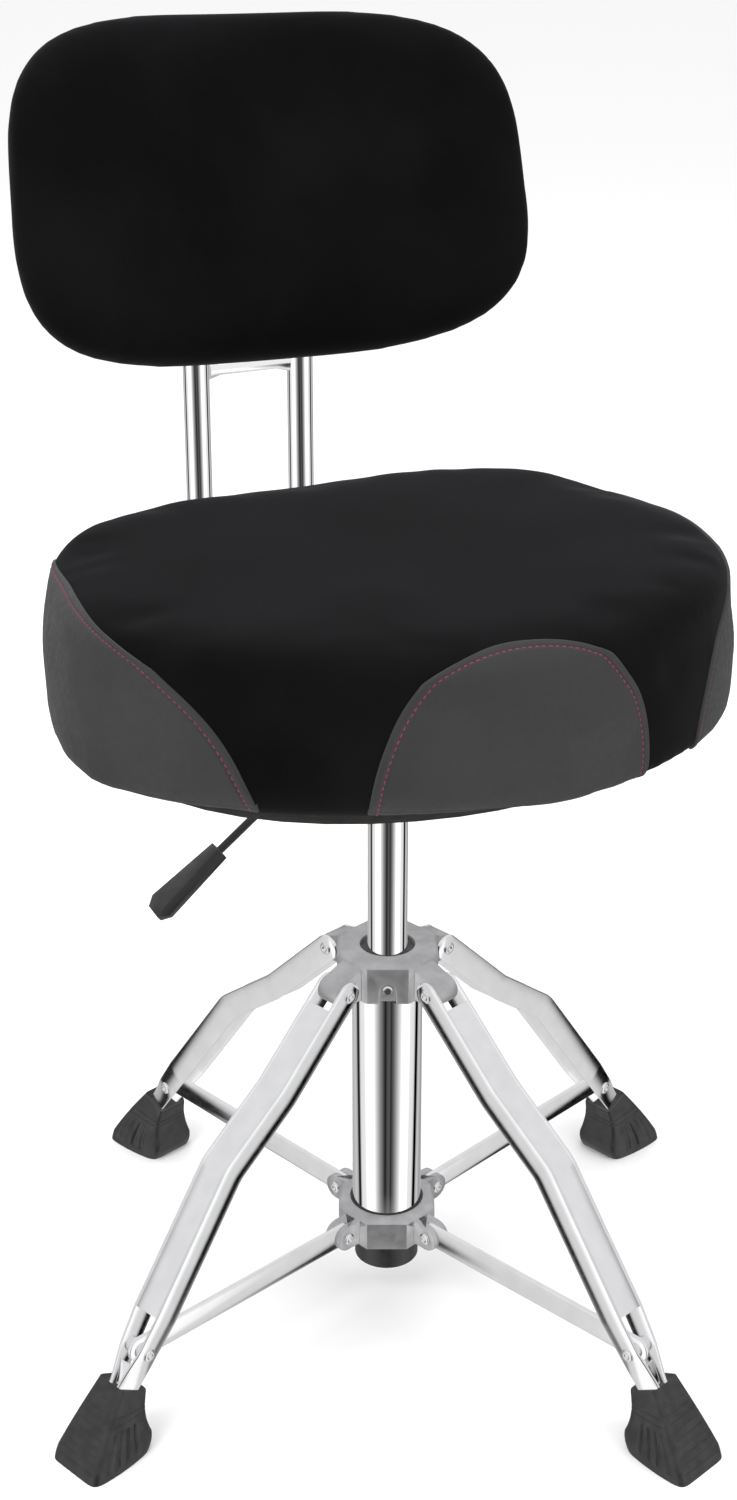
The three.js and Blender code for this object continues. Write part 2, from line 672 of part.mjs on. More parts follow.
function leverPaddle() {
  const kink = new THREE.Vector3(-lever.kink, 0, leverHeight);
  const slope = leverTip().sub(kink).normalize();
  const root = leverTip().addScaledVector(slope, -paddle.length);
  const up = new THREE.Vector3(slope.z, 0, -slope.x);
  const corner = (along, width, height) => [-1, 1].map((hand) => {
    const point = root.clone().addScaledVector(slope, along).addScaledVector(up, height);
    return [point.x, point.y + hand * width / 2, point.z];
  });
  const thick = paddle.thickness / 2;
  const shoulder = paddle.length - paddle.tipRound;
  const body = hull([
    ...corner(0, paddle.rootWidth * paddleFace.root, thick),
    ...corner(0, paddle.rootWidth, 0),
    ...corner(0, paddle.rootWidth * paddleFace.root, -thick),
    ...corner(shoulder, paddle.tipWidth * paddleFace.tip, thick),
    ...corner(shoulder, paddle.tipWidth, 0),
    ...corner(shoulder, paddle.tipWidth * paddleFace.tip, -thick),
    ...corner(paddle.length, paddle.tipWidth * paddleFace.end, thick * paddleFace.endThickness),
    ...corner(paddle.length, paddle.tipWidth * paddleFace.end, -thick * paddleFace.endThickness),
  ]);
  const socketEnd = root.clone().addScaledVector(slope, paddle.cover + GAP);
  const socketStart = root.clone().addScaledVector(slope, -lever.radius);
  return cut(body, bar(socketStart, socketEnd, lever.radius + GAP));
}

// ---------------------------------------------------------------- backrest

const padBack = pad.thickness / 2 + GAP + padBoard.thickness;
const bowRadius = (pad.halfWidth ** 2 + pad.bow ** 2) / (2 * pad.bow);
const bowAt = (x) => bowRadius - Math.sqrt(bowRadius ** 2 - x ** 2);
const mastOffset = padBack - bowAt(tube.halfSpan) + PLAY + tube.radius;

// The pad leans back with the tubes that carry it, which kink just under it.
const padFrame = new THREE.Group();
const padHeight = seat.top + padCentreUp;
const tubeHeightThere = padHeight - mastOffset * Math.sin(padTilt);
const tubeBackThere = tubeBack + (tubeHeightThere - kinkHeight) * Math.tan(padTilt);
padFrame.position.set(0, tubeBackThere - mastOffset * Math.cos(padTilt), padHeight);
padFrame.rotation.x = -padTilt;
padFrame.updateMatrix();

// A sheet bowed round the sitter's back, in the pad's frame: Y is its normal, Z is up.
function bowedSheet(front, back, halfWidth, halfHeight) {
  const centre = -bowRadius;
  const spread = Math.asin((halfWidth + pad.thickness / 8) / (bowRadius + front));
  const [start, end] = [Math.PI / 2 - spread, Math.PI / 2 + spread];
  const shape = new THREE.Shape();
  shape.absarc(0, centre, bowRadius + back, start, end, false);
  shape.absarc(0, centre, bowRadius + front, end, start, true);
  const geometry = new THREE.ExtrudeGeometry(shape, {
    depth: 2 * (halfHeight + PAST),
    bevelEnabled: false,
    curveSegments: 10,
  });
  const sheetSolid = toSolid(geometry.translate(0, 0, -halfHeight - PAST));
  const outline = Array.from({ length: 40 }, (_, i) => {
    const angle = i * Math.PI / 20;
    const [c, s] = [Math.cos(angle), Math.sin(angle)];
    const z = halfHeight * Math.sign(s) * Math.abs(s) ** (2 / pad.power);
    const x = halfWidth * Math.sign(c) * Math.abs(c) ** (2 / pad.power);
    return [x * (1 - pad.narrowing * z / halfHeight), z];
  });
  return sheetSolid.intersect(slab(outline, -bowRadius, bowRadius));
}

function backrestCushion() {
  return bowedSheet(-pad.thickness / 2, pad.thickness / 2, pad.halfWidth, pad.halfHeight);
}

const screwPlace = (hand) => [hand * tube.halfSpan, -screw.down];
const screwHole = (hand) => crossRod(screw.radius + GAP, screwPlace(hand), 0, 2 * mastOffset);

function backrestBoard() {
  const { thickness, inset } = padBoard;
  const front = pad.thickness / 2 + GAP;
  const sheetOfPly = bowedSheet(front, front + thickness, pad.halfWidth - inset, pad.halfHeight - inset);
  return cut(sheetOfPly, screwHole(-1), screwHole(1));
}

function tubePath(hand) {
  const at = (y, z) => new THREE.Vector3(hand * tube.halfSpan, y, z);
  const circleHandle = tube.bend * (Math.SQRT2 - 1) * 4 / 3;
  const bendStart = at(tubeBack - tube.bend, tubeHeight);
  const bendEnd = at(tubeBack, tubeHeight + tube.bend);
  const kink = at(tubeBack, kinkHeight);
  const kinkStart = at(tubeBack, kinkHeight - mast.turn);
  const leaning = (length) => at(
    tubeBack + length * Math.sin(padTilt),
    kinkHeight + length * Math.cos(padTilt),
  );
  const topEnd = (padHeight - kinkHeight) / Math.cos(padTilt) + mast.aboveCentre;
  const path = new THREE.CurvePath();
  path.add(new THREE.LineCurve3(at(tube.start, tubeHeight), bendStart));
  path.add(new THREE.CubicBezierCurve3(
    bendStart,
    at(tubeBack - tube.bend + circleHandle, tubeHeight),
    at(tubeBack, tubeHeight + tube.bend - circleHandle),
    bendEnd,
  ));
  path.add(new THREE.LineCurve3(bendEnd, kinkStart));
  path.add(new THREE.QuadraticBezierCurve3(kinkStart, kink, leaning(mast.turn)));
  path.add(new THREE.LineCurve3(leaning(mast.turn), leaning(topEnd)));
  return path;
}

function sweep(path, radius, sides, steps) {
  const section = Array.from({ length: sides }, (_, i) => {
    const angle = i * 2 * Math.PI / sides;
    return new THREE.Vector2(radius * Math.cos(angle), radius * Math.sin(angle));
  });
  const options = { steps, extrudePath: path, bevelEnabled: false };
  return toSolid(new THREE.ExtrudeGeometry(new THREE.Shape(section), options));
}

function backrestTube(hand) {
  const path = tubePath(hand);
  const outside = sweep(path, tube.radius, SIDES.tiny, 26);
  const inside = sweep(extended(path), tube.radius - tube.wall, SIDES.tiny / 2, 27);
  const hole = toSolid(toGeometry(screwHole(hand)).applyMatrix4(padFrame.matrix));
  return cut(outside, inside, hole);
}

// The same path, run on a little past both of its ends.
function extended(path) {
  const longer = new THREE.CurvePath();
  const start = path.getPoint(0);
  const end = path.getPoint(1);
  const before = start.clone().addScaledVector(path.getTangent(0), -PAST);
  const after = end.clone().addScaledVector(path.getTangent(1), PAST);
  longer.curves = [new THREE.LineCurve3(before, start), ...path.curves, new THREE.LineCurve3(end, after)];
  return longer;
}

function tubeClamp() {
  const { halfWidth, from, to } = clamp;
  const box = block(-halfWidth, halfWidth, from, to, clampBottom, plateTop);
  const bores = [-1, 1].map((hand) => (
    crossRod(tube.radius + GAP, [hand * tube.halfSpan, tubeHeight], from - PAST, to + PAST, SIDES.small)
  ));
  const boltBottom = clampBottom - boardBottom - PAST;
  const boltHole = shifted(rodGeometry(bolt.radius + GAP, boltBottom, PAST), 0, clampCentre);
  return cut(box, ...bores, boltHole);
}

const clampBottom = tubeHeight - tube.radius - clamp.cover;
const clampCentre = (clamp.from + clamp.to) / 2;

function clampBolt() {
  const underHead = clampBottom - boardBottom - GAP;
  const shank = shifted(rodGeometry(bolt.radius, underHead - SINK, bolt.grip), 0, clampCentre);
  const head = shifted(rodGeometry(bolt.headRadius, underHead - bolt.head, underHead, 6), 0, clampCentre);
  return join(head, shank);
}

function crossbarRod() {
  const half = tube.halfSpan - tube.radius - GAP;
  const { radius, endRadius, cone } = crossbar;
  const profile = [
    [0, -half], [endRadius, -half], [radius, -half + cone],
    [radius, half - cone], [endRadius, half], [0, half],
  ];
  const lying = toGeometry(turned(profile, SIDES.tiny)).rotateY(Math.PI / 2);
  return toSolid(lying.translate(0, tubeBack, seat.top + crossbar.up));
}

function padScrew(hand) {
  const at = screwPlace(hand);
  const underHead = mastOffset + tube.radius + GAP;
  return join(
    crossRod(screw.radius, at, padBack - screw.grip, underHead + SINK),
    crossRod(screw.headRadius, at, underHead, underHead + screw.head),
  );
}

// ---------------------------------------------------------------- assembly

const throne = new THREE.Group();

throne.add(
  piece('column_tube', 'chrome', columnTube()),
  piece('upper_hub', 'casting', upperHub()),
  piece('hub_screw', 'steel', clampScrew()),
  piece('guide_bush', 'plastic', guideBush()),
  piece('column_end_cap', 'rubber', endCap()),
  piece('bearing_race_lower', 'steel', lowerRace()),
  piece('bearing_ball_cage', 'steel', ballCage()),
  piece('bearing_race_upper', 'steel', upperRace()),
  piece('piston_rod', 'chrome', pistonRod()),
  piece('rod_clip', 'steel', rodClip()),
  piece('lower_hub', 'casting', lowerHub()),
  piece('lower_hub_liner', 'plastic', collarLiner()),
);

const corners = { rear_right: 45, rear_left: 135, front_left: 225, front_right: 315 };

for (const [corner, azimuth] of Object.entries(corners)) {
  const quarter = new THREE.Group();
  quarter.rotation.z = THREE.MathUtils.degToRad(azimuth);
  quarter.add(
    piece(`leg_${corner}`, 'steel', legChannel()),
    piece(`foot_${corner}`, 'rubber', rubberFoot()),
    piece(`hub_rivet_${corner}`, 'steel', hubRivet()),
    piece(`brace_rivet_a_${corner}`, 'steel', braceRivet(1)),
    piece(`brace_rivet_b_${corner}`, 'steel', braceRivet(-1)),
    piece(`brace_${corner}`, 'steel', braceBar()),
    piece(`brace_pin_${corner}`, 'steel', bracePin()),
  );
  throne.add(quarter);
}

const top = new THREE.Group();
top.rotation.z = seatYaw;
top.add(
  piece('gas_cylinder', 'chrome', gasCylinder()),
  piece('valve_button', 'steel', valveButton()),
  piece('seat_plate', 'plastic', seatPlate()),
  piece('seat_board', 'plywood', seatBoard()),
  piece('seat_cushion', 'velour', seatCushion()),
  ...boltPlaces().map((place, i) => piece(`plate_bolt_${i + 1}`, 'steel', plateBolt(place))),
  piece('lever_rod', 'plastic', leverRod()),
  piece('lever_handle', 'plastic', leverPaddle()),
  piece('backrest_tube_left', 'chrome', backrestTube(1)),
  piece('backrest_tube_right', 'chrome', backrestTube(-1)),
  piece('backrest_crossbar', 'chrome', crossbarRod()),
  piece('backrest_clamp', 'plastic', tubeClamp()),
  piece('clamp_bolt', 'steel', clampBolt()),
);
throne.add(top);

padFrame.add(
  piece('backrest_cushion', 'velour', backrestCushion()),
  piece('backrest_board', 'plywood', backrestBoard()),
  piece('backrest_screw_left', 'steel', padScrew(1)),
  piece('backrest_screw_right', 'steel', padScrew(-1)),
);
top.add(padFrame);

export default throne;
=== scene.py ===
"""A drum throne: a velour and vinyl seat with a backrest, on a gas lift and four folding legs."""

import math

import bmesh
import bpy
from mathutils import Matrix, Vector
from mathutils.bvhtree import BVHTree
from mathutils.geometry import interpolate_bezier


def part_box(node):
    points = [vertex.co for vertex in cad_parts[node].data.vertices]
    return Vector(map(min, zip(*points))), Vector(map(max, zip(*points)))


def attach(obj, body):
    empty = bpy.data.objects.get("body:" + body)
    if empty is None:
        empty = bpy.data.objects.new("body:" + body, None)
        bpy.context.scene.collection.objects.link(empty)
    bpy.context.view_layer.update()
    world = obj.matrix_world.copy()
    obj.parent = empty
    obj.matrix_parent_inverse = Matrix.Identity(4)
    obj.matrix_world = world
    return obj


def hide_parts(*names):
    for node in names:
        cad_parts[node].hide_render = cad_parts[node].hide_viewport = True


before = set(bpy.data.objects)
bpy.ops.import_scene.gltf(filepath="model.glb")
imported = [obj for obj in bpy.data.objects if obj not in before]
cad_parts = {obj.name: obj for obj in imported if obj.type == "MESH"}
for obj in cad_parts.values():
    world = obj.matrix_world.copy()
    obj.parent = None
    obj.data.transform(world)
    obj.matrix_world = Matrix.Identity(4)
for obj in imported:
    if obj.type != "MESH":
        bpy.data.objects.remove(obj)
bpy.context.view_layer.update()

scene = bpy.context.scene
MM = 0.001

# ---------------------------------------------------------------- camera
# It stands a metre and a half in front of the column, a little higher than the backrest, and looks
# down at the seat.

CAMERA_PLACE = (-0.0133, -1.4628, 1.0794)
LOOK_DOWN = math.radians(23.77)

camera_lens = bpy.data.cameras.new("camera")
camera_lens.sensor_fit = "VERTICAL"
camera_lens.sensor_height = 36
camera_lens.lens = 56.75
camera = bpy.data.objects.new("camera", camera_lens)
camera.location = CAMERA_PLACE
camera.rotation_euler = (math.pi / 2 - LOOK_DOWN, 0, 0)
scene.collection.objects.link(camera)
scene.camera = camera

# ---------------------------------------------------------------- floor and studio
# A white floor and a white room, with big soft lamps. What the bright metal mirrors is a ring of
# white screens with narrow black gaps, under a white ceiling.

scene.view_settings.view_transform = "Standard"


def matter(name, colour, roughness, metallic=0.0):
    """A plain finish to start from."""
    made = bpy.data.materials.new(name)
    made.use_nodes = True
    shader = made.node_tree.nodes["Principled BSDF"]
    shader.inputs["Base Color"].default_value = (*colour, 1)
    shader.inputs["Roughness"].default_value = roughness
    shader.inputs["Metallic"].default_value = metallic
    return made


def link_piece(bm, name, finish):
    """Turns a bmesh into an object with a finish, smooth except at its sharp edges."""
    mesh = bpy.data.meshes.new(name)
    bm.to_mesh(mesh)
    bm.free()
    mesh.materials.append(finish)
    mesh.shade_smooth()
    mesh.set_sharp_from_angle(angle=math.radians(38))
    piece = bpy.data.objects.new(name, mesh)
    scene.collection.objects.link(piece)
    return piece


bm = bmesh.new()
bmesh.ops.create_grid(bm, x_segments=1, y_segments=1, size=9)
floor = link_piece(bm, "floor", matter("floor_paint", (0.93, 0.93, 0.93), 0.9))
floor.visible_glossy = False

# Brightness of the ring of screens, by the angle round from the front, in degrees.
SCREENS = [
    (-180, 0.5), (-150, 0.46), (-128, 0.6), (-118, 0.45), (-113, 0.03), (-103, 0.0), (-100, 0.5),
    (-95, 0.82), (-80, 0.85), (-72, 1.3), (-47, 1.3), (-35, 0.68), (-24, 0.3), (-13, 0.1),
    (-6, 0.004), (0, 0.07), (7, 0.1), (13, 0.02), (21, 0.13), (30, 0.35), (42, 0.8), (50, 1.3),
    (73, 1.3), (80, 0.85), (95, 0.82), (100, 0.5), (103, 0.0), (114, 0.0), (119, 0.45),
    (127, 0.62), (145, 0.34), (180, 0.5),
]


def studio_room():
    room = bpy.data.worlds.new("studio")
    scene.world = room
    room.use_nodes = True
    nodes, links = room.node_tree.nodes, room.node_tree.links
    nodes.clear()
    toward = nodes.new("ShaderNodeTexCoord")
    split = nodes.new("ShaderNodeSeparateXYZ")
    back = nodes.new("ShaderNodeMath")
    back.operation = "MULTIPLY"
    back.inputs[1].default_value = -1
    round_angle = nodes.new("ShaderNodeMath")
    round_angle.operation = "ARCTAN2"
    share = nodes.new("ShaderNodeMapRange")
    share.inputs["From Min"].default_value = -math.pi
    share.inputs["From Max"].default_value = math.pi
    screens = nodes.new("ShaderNodeValToRGB")
    stops = screens.color_ramp.elements
    while len(stops) < len(SCREENS):
        stops.new(0.5)
    for stop, (angle, brightness) in zip(stops, SCREENS):
        stop.position = angle / 360 + 0.5
        stop.color = (brightness, brightness, brightness, 1)
    height = nodes.new("ShaderNodeMapRange")
    height.inputs["From Min"].default_value = -0.12
    height.inputs["From Max"].default_value = 0.3
    ceiling = nodes.new("ShaderNodeMix")
    ceiling.data_type = "RGBA"
    ceiling.inputs["B"].default_value = (0.92, 0.92, 0.93, 1)
    depth = nodes.new("ShaderNodeMapRange")
    depth.inputs["From Min"].default_value = -0.7
    depth.inputs["From Max"].default_value = -0.95
    ground = nodes.new("ShaderNodeMix")
    ground.data_type = "RGBA"
    ground.inputs["B"].default_value = (0.8, 0.8, 0.8, 1)
    mirrored = nodes.new("ShaderNodeBackground")
    lit = nodes.new("ShaderNodeBackground")
    lit.inputs["Color"].default_value = (1, 1, 1, 1)
    ray = nodes.new("ShaderNodeLightPath")
    either = nodes.new("ShaderNodeMixShader")
    out = nodes.new("ShaderNodeOutputWorld")
    for start, end in (
        (toward.outputs["Generated"], split.inputs[0]),
        (split.outputs["Y"], back.inputs[0]),
        (split.outputs["X"], round_angle.inputs[0]),
        (back.outputs[0], round_angle.inputs[1]),
        (round_angle.outputs[0], share.inputs["Value"]),
        (share.outputs[0], screens.inputs[0]),
        (split.outputs["Z"], height.inputs["Value"]),
        (height.outputs[0], ceiling.inputs["Factor"]),
        (screens.outputs["Color"], ceiling.inputs["A"]),
        (split.outputs["Z"], depth.inputs["Value"]),
        (depth.outputs[0], ground.inputs["Factor"]),
        (ceiling.outputs["Result"], ground.inputs["A"]),
        (ground.outputs["Result"], mirrored.inputs["Color"]),
        (ray.outputs["Is Glossy Ray"], either.inputs[0]),
        (lit.outputs[0], either.inputs[1]),
        (mirrored.outputs[0], either.inputs[2]),
        (either.outputs[0], out.inputs[0]),
    ):
        links.new(start, end)


studio_room()


def softbox(name, place, target, size, watts):
    lamp = bpy.data.lights.new(name, "AREA")
    lamp.shape = "SQUARE"
    lamp.size = size
    lamp.energy = watts
    stand = bpy.data.objects.new(name, lamp)
    stand.location = place
    stand.rotation_euler = (Vector(target) - Vector(place)).to_track_quat("-Z", "Y").to_euler()
    stand.visible_glossy = False
    scene.collection.objects.link(stand)


softbox("key_light", (-1.4, -1.6, 2.4), (0, 0, 0.4), 1.6, 40)
softbox("fill_light", (1.8, -1.0, 1.6), (0, 0, 0.4), 1.6, 18)
softbox("top_light", (0, 0.4, 2.8), (0, 0, 0.3), 2.2, 30)

# ---------------------------------------------------------------- column tube
# The lower column is a 50 mm steel tube with a 3 mm wall, cut to length and chromed. The upper hub
# is clamped on its top, and its lower end shows inside the lower hub.

COLUMN_RADIUS, COLUMN_WALL = 25, 3


def noise(made, scale, detail=3.0, stretch=(1, 1, 1)):
    """Noise on the piece's own coordinates, drawn out along an axis if asked."""
    nodes, links = made.node_tree.nodes, made.node_tree.links
    place = nodes.new("ShaderNodeTexCoord")
    cloud = nodes.new("ShaderNodeTexNoise")
    cloud.inputs["Scale"].default_value = scale
    cloud.inputs["Detail"].default_value = detail
    mapping = nodes.new("ShaderNodeMapping")
    mapping.inputs["Scale"].default_value = stretch
    links.new(place.outputs["Object"], mapping.inputs["Vector"])
    links.new(mapping.outputs[0], cloud.inputs["Vector"])
    return cloud.outputs[0]


def roughen(made, scale, low, high, detail=3.0):
    """Lets the roughness wander from low to high by a noise."""
    nodes, links = made.node_tree.nodes, made.node_tree.links
    ramp = nodes.new("ShaderNodeMapRange")
    ramp.inputs["From Min"].default_value = 0.3
    ramp.inputs["From Max"].default_value = 0.7
    ramp.inputs["To Min"].default_value = low
    ramp.inputs["To Max"].default_value = high
    links.new(noise(made, scale, detail), ramp.inputs["Value"])
    links.new(ramp.outputs[0], nodes["Principled BSDF"].inputs["Roughness"])


def chrome_plate():
    made = matter("chrome_plate", (0.93, 0.93, 0.94), 0.04, 1.0)
    roughen(made, 35, 0.025, 0.06)
    return made


chrome = chrome_plate()


def spun(points, steps, closed=False):
    """The skin that a chain of points in the X-Z plane sweeps as it turns about the Z axis."""
    bm = bmesh.new()
    chain = [bm.verts.new(point) for point in points]
    edges = [bm.edges.new(pair) for pair in zip(chain, chain[1:])]
    if closed:
        edges.append(bm.edges.new((chain[-1], chain[0])))
    bmesh.ops.spin(
        bm, geom=chain + edges, axis=(0, 0, 1), cent=(0, 0, 0),
        steps=steps, angle=math.tau, use_merge=True,
    )
    return bm


def merged(bm):
    """Merges a skin's doubles, and turns its faces outwards."""
    bmesh.ops.remove_doubles(bm, verts=bm.verts, dist=1e-6)
    bmesh.ops.recalc_face_normals(bm, faces=bm.faces)
    return bm


def turned(profile, steps=96, closed=False):
    """A turned part about the Z axis, from points of radius and height in millimetres."""
    return merged(spun([(r * MM, 0, z * MM) for r, z in profile], steps, closed))


def ease_edges(bm, width, segments=3, over=32):
    """Rounds off the edges whose faces turn by more than a number of degrees."""
    joined = [e for e in bm.edges if len(e.link_faces) == 2]
    sharp = [e for e in joined if e.calc_face_angle() > math.radians(over)]
    bmesh.ops.bevel(
        bm, geom=sharp, offset=width * MM, segments=segments, profile=0.5,
        affect="EDGES", material=-1, clamp_overlap=True,
    )
    return bm


def fit(piece, body, slot, *stands_for):
    """Hangs a piece on its body, and hides the nodes it stands for. Its slot is not used."""
    piece.visible_glossy = False
    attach(piece, body)
    if stands_for:
        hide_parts(*stands_for)
    return piece


def span(node):
    """A node's lowest and highest points, in millimetres."""
    low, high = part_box(node)
    return low.z / MM, high.z / MM


low, high = span("column_tube")
bore = COLUMN_RADIUS - COLUMN_WALL
tube = turned(
    [(bore, low), (COLUMN_RADIUS, low), (COLUMN_RADIUS, high), (bore, high)], closed=True,
)
tube = link_piece(ease_edges(tube, 0.4), "column_tube_shell", chrome)
fit(tube, "base", "chrome_tube", "column_tube")

# ---------------------------------------------------------------- gas lift
# The gas spring's cylinder slides in a plastic bush in the column. It is ground and chromed, and
# its tapered top is wedged in the seat plate's sleeve, with the valve button standing out of it.

GAS_RADIUS, GAS_TIP, GAS_TAPER = 14, 13.2, 33
ROD_HOLE, VALVE_HOLE, VALVE_DEPTH = 5.4, 4.6, 6

low, high = span("gas_cylinder")
cylinder = turned([
    (ROD_HOLE, low), (GAS_RADIUS, low), (GAS_RADIUS, high - GAS_TAPER), (GAS_TIP, high),
    (VALVE_HOLE, high), (VALVE_HOLE, high - VALVE_DEPTH), (0, high - VALVE_DEPTH),
])
cylinder = link_piece(ease_edges(cylinder, 0.6), "gas_cylinder_shell", chrome)
fit(cylinder, "seat", "chrome_tube", "gas_cylinder")

# ---------------------------------------------------------------- hubs
# The upper hub is a die-cast octagon, clamped to the column by a small screw in front, with a lug
# for each leg. The lower hub slides on the column on a plastic liner, and has a fork for each
# brace. Both are shot-blasted and left satin grey.


def mottle(made, cloud, dark, light):
    """Lets the colour wander between two tones by a noise."""
    nodes, links = made.node_tree.nodes, made.node_tree.links
    ramp = nodes.new("ShaderNodeValToRGB")
    ramp.color_ramp.elements[0].position = 0.35
    ramp.color_ramp.elements[0].color = (*dark, 1)
    ramp.color_ramp.elements[1].position = 0.65
    ramp.color_ramp.elements[1].color = (*light, 1)
    links.new(cloud, ramp.inputs[0])
    links.new(ramp.outputs["Color"], nodes["Principled BSDF"].inputs["Base Color"])


def relief(made, value, height, strength):
    """Bump from a value, with its height in metres."""
    nodes, links = made.node_tree.nodes, made.node_tree.links
    bump = nodes.new("ShaderNodeBump")
    bump.inputs["Strength"].default_value = strength
    bump.inputs["Distance"].default_value = height
    links.new(value, bump.inputs["Height"])
    links.new(bump.outputs[0], nodes["Principled BSDF"].inputs["Normal"])


def cast_metal():
    made = matter("cast_metal", (0.5, 0.5, 0.5), 0.42, 0.85)
    mottle(made, noise(made, 60, 4), (0.40, 0.40, 0.41), (0.50, 0.50, 0.505))
    roughen(made, 180, 0.36, 0.5)
    relief(made, noise(made, 1400, 2), 0.00006, 0.6)
    return made


casting = cast_metal()


def from_frame(node):
    """A copy of a node's mesh, merged, with its flat faces made whole again."""
    bm = bmesh.new()
    bm.from_mesh(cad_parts[node].data)
    bmesh.ops.remove_doubles(bm, verts=bm.verts, dist=2e-5)
    bmesh.ops.dissolve_limit(bm, angle_limit=math.radians(1), verts=bm.verts, edges=bm.edges)
    return bm


def refined(node, body, slot, finish, width):
    """The node's own shape with its edges eased, in its real finish."""
    piece = link_piece(ease_edges(from_frame(node), width, 2), node + "_body", finish)
    return fit(piece, body, slot, node)


refined("upper_hub", "base", "hub_casting", casting, 0.7)
refined("lower_hub", "lower_hub", "hub_casting", casting, 0.7)


def moulded_plastic():
    made = matter("moulded_plastic", (0.007, 0.007, 0.008), 0.36)
    roughen(made, 90, 0.3, 0.5)
    relief(made, noise(made, 2200, 2), 0.00004, 0.5)
    return made


plastic = moulded_plastic()


def bright_zinc():
    made = matter("bright_zinc", (0.72, 0.72, 0.73), 0.22, 1.0)
    roughen(made, 300, 0.14, 0.34)
    return made


zinc = bright_zinc()


def pan_head_screw():
    """The clamp screw: a pan head with a cross in it, lying along Y in the hub's arch."""
    low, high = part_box("hub_screw")
    centre = (low + high) / 2
    bm = turned([(0, 0.1), (2.4, 0), (3.4, -1.2), (3.4, -2.2), (0, -2.2)], 32)
    for turn in (0, math.pi / 2):
        slot = bmesh.ops.create_cube(bm, size=1)["verts"]
        bmesh.ops.scale(bm, vec=(3.2 * MM, 0.7 * MM, 0.5 * MM), verts=slot)
        bmesh.ops.rotate(bm, matrix=Matrix.Rotation(turn, 3, "Z"), verts=slot)
    bmesh.ops.rotate(bm, matrix=Matrix.Rotation(math.pi / 2, 3, "X"), verts=bm.verts)
    bmesh.ops.translate(bm, vec=(0, low.y + 0.1 * MM, centre.z), verts=bm.verts)
    return bm


fit(link_piece(pan_head_screw(), "hub_screw_head", zinc), "base", "fastener_steel", "hub_screw")

# ---------------------------------------------------------------- end cap
# A moulded black rubber plug is pushed into the column's lower end. Its flange covers the tube's
# edge, and stops the lower hub.

CAP_RADIUS, CAP_FLANGE, CAP_PLUG = 23.3, 27.8, 21.7
FLANGE_LOW, FLANGE_HIGH = 54, 56.7


def moulded_rubber():
    made = matter("moulded_rubber", (0.014, 0.014, 0.014), 0.5)
    mottle(made, noise(made, 130, 4), (0.009, 0.009, 0.009), (0.019, 0.019, 0.019))
    roughen(made, 70, 0.36, 0.55)
    relief(made, noise(made, 1600, 3), 0.00008, 0.7)
    return made


rubber = moulded_rubber()

low, high = span("column_end_cap")
cap = turned([
    (0, low), (CAP_RADIUS, low), (CAP_RADIUS, FLANGE_LOW), (CAP_FLANGE, FLANGE_LOW),
    (CAP_FLANGE, FLANGE_HIGH), (CAP_PLUG, FLANGE_HIGH), (CAP_PLUG, high), (0, high),
])
cap = link_piece(ease_edges(cap, 1.6, 4), "end_cap_rubber", rubber)
fit(cap, "base", "black_rubber", "column_end_cap")

# ---------------------------------------------------------------- legs
# Each leg is one channel pressed from 2 mm sheet: two flanges joined by a web along the outside.
# The web is cut away at the hub's lug and at the brace, and both ends are riveted.

CORNERS = {"rear_right": 45, "rear_left": 135, "front_left": 225, "front_right": 315}
HANDS = (("a", False), ("b", True))
HUB_PIVOT = Vector((49.6, 269.0))
BRACE_RIVET = Vector((237.8, 69.0))
BRACE_PIVOT = Vector((46.5, 65.0))
TAIL = 45.0
SHEET = 2.0
EYE = 9.75
# The channel's half-width, its half-size at the foot, and where it starts to taper above the brace.
HALF_WIDTH, END_HALF, TAPER = 12, 7.5, 26


def polished_steel():
    made = matter("polished_steel", (0.78, 0.78, 0.79), 0.11, 1.0)
    roughen(made, 300, 0.09, 0.13, 2)
    mottle(made, noise(made, 60), (0.76, 0.76, 0.77), (0.8, 0.8, 0.81))
    return made


steel = polished_steel()

chord = BRACE_RIVET - HUB_PIVOT
bulge = Vector((-chord.y, chord.x)).normalized()
shoulder = HUB_PIVOT + chord * 0.294 + bulge * 4.1
knee = HUB_PIVOT + chord * 0.52 + bulge * 15.6
leg_down = (BRACE_RIVET - knee).normalized()
leg_out = Vector((-leg_down.y, leg_down.x))
leg_end = BRACE_RIVET + leg_down * TAIL


def rounded_line(corners, radius, steps=10):
    """A line through corners, in any number of dimensions, with each corner an arc."""
    points = [corners[0]]
    for before, corner, after in zip(corners, corners[1:], corners[2:]):
        into, out = (corner - before).normalized(), (after - corner).normalized()
        turn = into.angle(out)
        trim = radius * math.tan(turn / 2)
        reach = 4 / 3 * radius * math.tan(turn / 4)
        start, end = corner - into * trim, corner + out * trim
        arc = interpolate_bezier(*(
            p.to_3d() for p in (start, start + into * reach, end - out * reach, end)
        ), steps)
        points += [Vector(p[: len(corner)]) for p in arc]
    return points + [corners[-1]]


leg_line = rounded_line([HUB_PIVOT, shoulder, knee, leg_end], 32)
walked = [0.0]
for near, far in zip(leg_line, leg_line[1:]):
    walked.append(walked[-1] + (far - near).length)
leg_length = walked[-1]
rivet_at = leg_length - TAIL
WEB_FROM, WEB_TO, WEB_IN = 16.0, rivet_at - 25.0, 1.0


def along_leg(distance):
    """The point and the direction of the leg's centreline at a distance from the hub's pivot."""
    i = next((k for k in range(1, len(walked)) if walked[k] >= distance), len(walked) - 1)
    i = max(i, 1)
    way = (leg_line[i] - leg_line[i - 1]).normalized()
    return leg_line[i - 1] + way * (distance - walked[i - 1]), way


